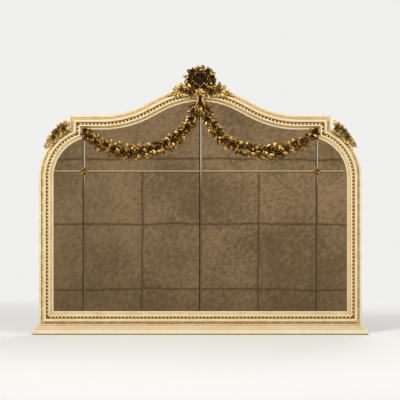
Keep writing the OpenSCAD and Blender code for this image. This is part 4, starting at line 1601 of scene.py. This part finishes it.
@dataclass
class BackScrews:
    """Countersunk iron screws that hold the battens and the back frame."""

    iron: Material
    depths: Depths = Depths()
    radius: float = 0.0048
    slot_share: float = 0.16
    slot_depth: float = 0.0012
    boards: int = 5
    board_shares: Pair = (0.22, 0.78)
    stagger: float = 0.018
    sole_screws: int = 9
    sole_end: float = 0.04
    stile_shares: tuple[float, ...] = (0.08, 0.36, 0.64)
    # Share of the radius, height.
    head: Rows = ((0.5, -0.003), (1.0, 0.0), (0.97, 0.0002), (0.3, 0.0003))

    def places(self) -> list[Pair]:
        """Where the screws go, as x and z.

        Returns:
            One pair for each screw.
        """
        found = []
        for batten in ("upper_batten", "lower_batten"):
            low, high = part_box(batten)
            mid = (low.z + high.z) / 2
            for n in range(1, self.boards + 1):
                left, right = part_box(f"backboard_{n}")
                for share, side in zip(self.board_shares, (1, -1)):
                    found.append((left.x + (right.x - left.x) * share, mid + side * self.stagger))
        low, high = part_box("back_sole")
        for share in np.linspace(self.sole_end, 1 - self.sole_end, self.sole_screws):
            found.append((low.x + (high.x - low.x) * float(share), (low.z + high.z) / 2))
        for name in ("left_back_stile", "right_back_stile"):
            low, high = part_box(name)
            for share in self.stile_shares:
                found.append(((low.x + high.x) / 2, low.z + (high.z - low.z) * share))
        return found

    def build(self) -> Object:
        """Make the screws.

        Returns:
            The screws' object.
        """
        carving = Carving("back_screws", 71)
        head = turned_form(self.head, 20, self.radius)
        slot = (np.abs(head.points[:, 1]) < self.radius * self.slot_share) & (head.points[:, 2] > 0)
        head.points[slot, 2] -= self.slot_depth
        for x, z in self.places():
            carving.add(head, self.depths.at(x, z, 0.0), spoke(carving.swing(math.pi)), (0, 1, 0))
        return carving.piece(self.iron, [])


@dataclass
class Joinery:
    """The painted members, the glass and the pine back, whose shapes the frame already holds."""

    cream: Material
    cream_top: Material
    cream_sill: Material
    tongues: Material
    glass: Material
    pine_up: Material
    pine_across: Material
    iron: Material

    def finish_of(self, name: str) -> Optional[Material]:
        """Choose a CAD node's finish.

        Args:
            name: The node's name.

        Returns:
            Its material, or None for a node that a carved piece stands for.
        """
        if name.endswith("tongues"):
            return self.tongues
        if name.startswith("pane"):
            return self.glass
        if name.endswith("hanging_plate") or name == "plate_screws":
            return self.iron
        if name.endswith(("batten", "back_sole", "back_arch", "back_head")):
            return self.pine_across
        if name.startswith("backboard") or name.endswith(("back_stile", "back_shoulder")):
            return self.pine_up
        if name.endswith(("top_rail", "sweep", "ramp", "centre_arch")):
            return self.cream_top
        if name.endswith(("rail", "stile", "shoulder", "ear")):
            return self.cream
        if name == "sill":
            return self.cream_sill
        return None

    def dress(self, nodes: dict[str, Object]) -> None:
        """Give every CAD node that stays in sight its finish.

        Args:
            nodes: The frame's nodes by name.
        """
        for name, node in sorted(nodes.items()):
            material = self.finish_of(name)
            if material is not None:
                node.data.materials.clear()
                node.data.materials.append(material)
                log.info("%s: %s", name, material.name)


@dataclass(frozen=True)
class PaleFloor:
    """The studio floor, which fades into the background away from the object."""

    pale: Colour
    # Squares of the distances from the middle between which it fades.
    fade: Pair = (2.5, 14.0)

    def material(self) -> Material:
        """Mix the finish.

        Returns:
            The material.
        """
        bench = Bench("studio_floor", self.pale)
        fade = (bench.along(Axis.X).power(2.0) + bench.along(Axis.Y).power(2.0)).eased(*self.fade)
        seen = bench.rays("Camera")
        solid = bench.node("ShaderNodeBsdfPrincipled", None, {"Base Color": self.pale, "Roughness": 0.9})
        glow = bench.node("ShaderNodeEmission", None, {"Color": self.pale, "Strength": 1.0})
        shares = {0: fade * seen, 1: solid.outputs[0], 2: glow.outputs[0]}
        return bench.closed(bench.node("ShaderNodeMixShader", None, shares))


@dataclass(frozen=True)
class ReflectedCard:
    """What the glass reflects: jointed stone in the middle, and pale, dark and warm fields round it."""

    pale: Colour
    # Where the stone is bare, and where it is chipped.
    low_stone: tuple[Colour, Colour] = ((0.185, 0.130, 0.074), (0.335, 0.247, 0.150))
    high_stone: tuple[Colour, Colour] = ((0.26, 0.182, 0.106), (0.50, 0.370, 0.232))
    dim_stone: Colour = (0.20, 0.145, 0.085)
    joint: Colour = (0.11, 0.078, 0.042)
    sky: tuple[Colour, Colour] = ((0.26, 0.19, 0.12), (0.92, 0.90, 0.80))
    right: Colour = (0.045, 0.032, 0.020)
    below: Colour = (0.80, 0.68, 0.50)
    above: Colour = (0.22, 0.13, 0.05)
    block: Pair = (0.895, 1.0)
    course_z: float = 0.433
    # Distances from a joint's middle at which it is out of sight, and full.
    joint_edge: Pair = (0.022, 0.008)

    def material(self) -> Material:
        """Mix the finish.

        Returns:
            The material.
        """
        bench = Bench("studio_card", (0.25, 0.2, 0.13))
        x, z = bench.along(Axis.X), bench.along(Axis.Z)
        slanted = bench.node("ShaderNodeCombineXYZ", None, {0: (x + z) * 0.55, 2: z - x}).outputs[0]
        stone = bench.cloud(0.7, 2.0) * 0.8 + bench.cloud(15.0, 6.0, 0.74, slanted) * 1.4
        chipped = stone.eased(0.9, 1.3)
        wall = bench.mixed(*self.low_stone, chipped)
        wall = bench.mixed(wall, bench.mixed(*self.high_stone, chipped), z.eased(-1.3, 0.9))
        wall = bench.mixed(wall, self.dim_stone, x.eased(0.4, -2.0) * 0.25)
        upright = x.from_line(self.block[0]).eased(*self.joint_edge) * z.eased(1.26, 1.2)
        level = (z - self.course_z).from_line(self.block[1]).eased(*self.joint_edge)
        wall = bench.mixed(wall, self.joint, upright.larger(level) * 0.75)
        sky = bench.mixed(*self.sky, z.eased(0.9, 1.5))
        colour = bench.mixed(wall, sky, x.eased(-4.6, -5.6))
        colour = bench.mixed(colour, self.right, x.eased(4.6, 5.6))
        colour = bench.mixed(colour, self.below, z.eased(-4.2, -5.0))
        colour = bench.mixed(colour, self.above, z.eased(6.0, 6.8))
        rim = x.size().eased(9.0, 13.5).larger((z - 1).size().eased(9.0, 12.5))
        colour = bench.mixed(colour, self.pale, rim)
        return bench.closed(bench.node("ShaderNodeEmission", None, {"Color": colour, "Strength": 1.0}))


@dataclass(frozen=True)
class Lamp:
    """A soft square lamp that points at the mirror's middle."""

    name: str
    at: Triple
    size: float
    power: float
    colour: Colour = (1.0, 1.0, 1.0)
    target: Triple = (0.0, 0.0, 0.85)

    def hang(self) -> None:
        """Hang the lamp in the scene."""
        data = bpy.data.lights.new(self.name, "AREA")
        data.size, data.energy, data.color = self.size, self.power, self.colour
        lamp = bpy.data.objects.new(self.name, data)
        lamp.location = self.at
        lamp.rotation_euler = (Vector(self.target) - Vector(self.at)).to_track_quat("-Z", "Y").to_euler()
        bpy.context.scene.collection.objects.link(lamp)


@dataclass
class Studio:
    """Pale floor, soft lamps, a card that the glass reflects, and the camera in front."""

    width: float = 2.4
    distance: float = 9.0
    sensor: float = 36.0
    eye_x: float = -0.0018
    eye_z: float = 0.804
    pale: Colour = (0.87, 0.87, 0.86)
    air_colour: Colour = (1.0, 0.99, 0.97)
    air_strength: float = 0.42
    floor_half: float = 16.0
    card_half: float = 14.0
    card_y: float = -14.0
    card_z: Pair = (-12.0, 14.0)
    hidden_rays: tuple[str, ...] = ("camera", "diffuse", "shadow", "transmission", "volume_scatter")
    lamps: tuple[Lamp, ...] = (
        Lamp("key", (-2.2, -4.2, 4.6), 1.8, 195.0, (1.0, 0.97, 0.92)),
        Lamp("fill", (3.2, -4.0, 3.6), 2.4, 80.0),
        Lamp("back", (1.5, 4.5, 3.2), 2.5, 85.0),
    )

    def camera(self) -> None:
        """Put the camera straight in front of the mirror."""
        data = bpy.data.cameras.new("front")
        data.sensor_width = self.sensor
        data.lens = self.sensor * self.distance / self.width
        camera = bpy.data.objects.new("front", data)
        camera.location = (self.eye_x, -self.distance, self.eye_z)
        camera.rotation_euler = (math.pi / 2, 0.0, 0.0)
        bpy.context.scene.collection.objects.link(camera)
        bpy.context.scene.camera = camera

    def flat(self, name: str, corners: Sequence[Triple], material: Material) -> Object:
        """Make one flat stage piece.

        Args:
            name: Its name.
            corners: Its four corners.
            material: Its finish.

        Returns:
            The new object.
        """
        mesh = bpy.data.meshes.new(name)
        mesh.from_pydata([list(c) for c in corners], [], [(0, 1, 2, 3)])
        mesh.materials.append(material)
        made = bpy.data.objects.new(name, mesh)
        bpy.context.scene.collection.objects.link(made)
        return made

    def floor(self) -> None:
        """Lay the pale floor, which nothing reflects."""
        h = self.floor_half
        corners = [(-h, -h, 0), (h, -h, 0), (h, h, 0), (-h, h, 0)]
        floor = self.flat("studio_floor", corners, PaleFloor(self.pale).material())
        floor.visible_glossy = False

    def card(self) -> None:
        """Stand a large card behind the camera, seen only in reflections."""
        h, y = self.card_half, self.card_y
        low, high = self.card_z
        corners = [(-h, y, low), (h, y, low), (h, y, high), (-h, y, high)]
        card = self.flat("studio_card", corners, ReflectedCard(self.pale).material())
        for ray in self.hidden_rays:
            setattr(card, f"visible_{ray}", False)

    def air(self) -> None:
        """Light the scene softly from all round, and show the pale background."""
        world = bpy.data.worlds.new("studio_air")
        bpy.context.scene.world = world
        world.use_nodes = True
        air = Nodes(world.node_tree)
        shiny = air.rays("Glossy").larger(air.rays("Transmission"))
        shown = air.rays("Camera").larger(shiny)
        soft = air.node("ShaderNodeBackground", None, {0: self.air_colour, 1: self.air_strength})
        pale = air.node("ShaderNodeBackground", None, {0: self.pale, 1: 1.0})
        mix = air.node("ShaderNodeMixShader", None, {0: shown, 1: soft.outputs[0], 2: pale.outputs[0]})
        air.node("ShaderNodeOutputWorld", None, {0: mix.outputs[0]})

    def build(self) -> None:
        """Set up the whole studio."""
        self.camera()
        self.air()
        self.floor()
        self.card()
        for lamp in self.lamps:
            lamp.hang()
        bpy.context.scene.view_settings.view_transform = "Standard"


def main() -> None:
    """Build the mirror's pieces and the studio, in order."""
    logging.basicConfig(level=logging.INFO, format="%(name)s %(message)s")
    Studio().build()
    gilt = Gilding("gilding", reach=0.022, lift=-0.03).material()
    crest_gilt = Gilding("gilding_crest", reach=0.021, lift=-0.04).material()
    # A lighter copy of the gilding, lifted as painted light for the leaves that catch light from above:
    # sprays, trails, the knot and the leaves over the roses.
    painted_lit_gilt = Gilding("gilding_painted_lit", reach=0.0115, lift=0.21).material()
    # A darker copy of the gilding for the bell: a lower tone, and painted recess shade that reaches
    # further.
    darker_gilt = Gilding("gilding_darker", reach=0.032, lift=-0.2).material()
    old_tones = {"bright": (0.34, 0.20, 0.06), "mid": (0.16, 0.085, 0.02)}
    old_gilt = Gilding("gilding_old", reach=0.009, **old_tones).material()
    # Near-black ground painted as the shade inside the wreath's hollow and behind the drop's strands.
    ground = ShadeGround().material()
    iron = Iron().material()
    sill_tones = {"cream": paint(240, 224, 190), "warm": paint(234, 215, 174)}
    joinery = Joinery(
        cream=CreamPaint().material(),
        cream_top=CreamPaint("cream_paint_top", 0.95, onset=0.12, on_floor=0.25, steep=0.08).material(),
        cream_sill=CreamPaint("cream_paint_sill", 0.25, **sill_tones).material(),
        tongues=TongueCourse().material(),
        glass=MirrorGlass().material(),
        pine_up=Pine(Axis.Z).material(),
        pine_across=Pine(Axis.X).material(),
        iron=iron,
    )
    joinery.dress(frame["nodes"])
    for left in (True, False):
        for maker, finish in ((Swag, gilt), (Spray, painted_lit_gilt), (Rosette, old_gilt)):
            maker(left, finish).build()
    drop = CentreDrop(darker_gilt, painted_lit_gilt, ground)
    crest = Crest(crest_gilt, painted_lit_gilt, ground)
    for made in drop.build() + crest.build():
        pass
    RosetteScrews(Brass().material()).build()
    BackScrews(iron).build()


if __name__ == "__main__":
    main()
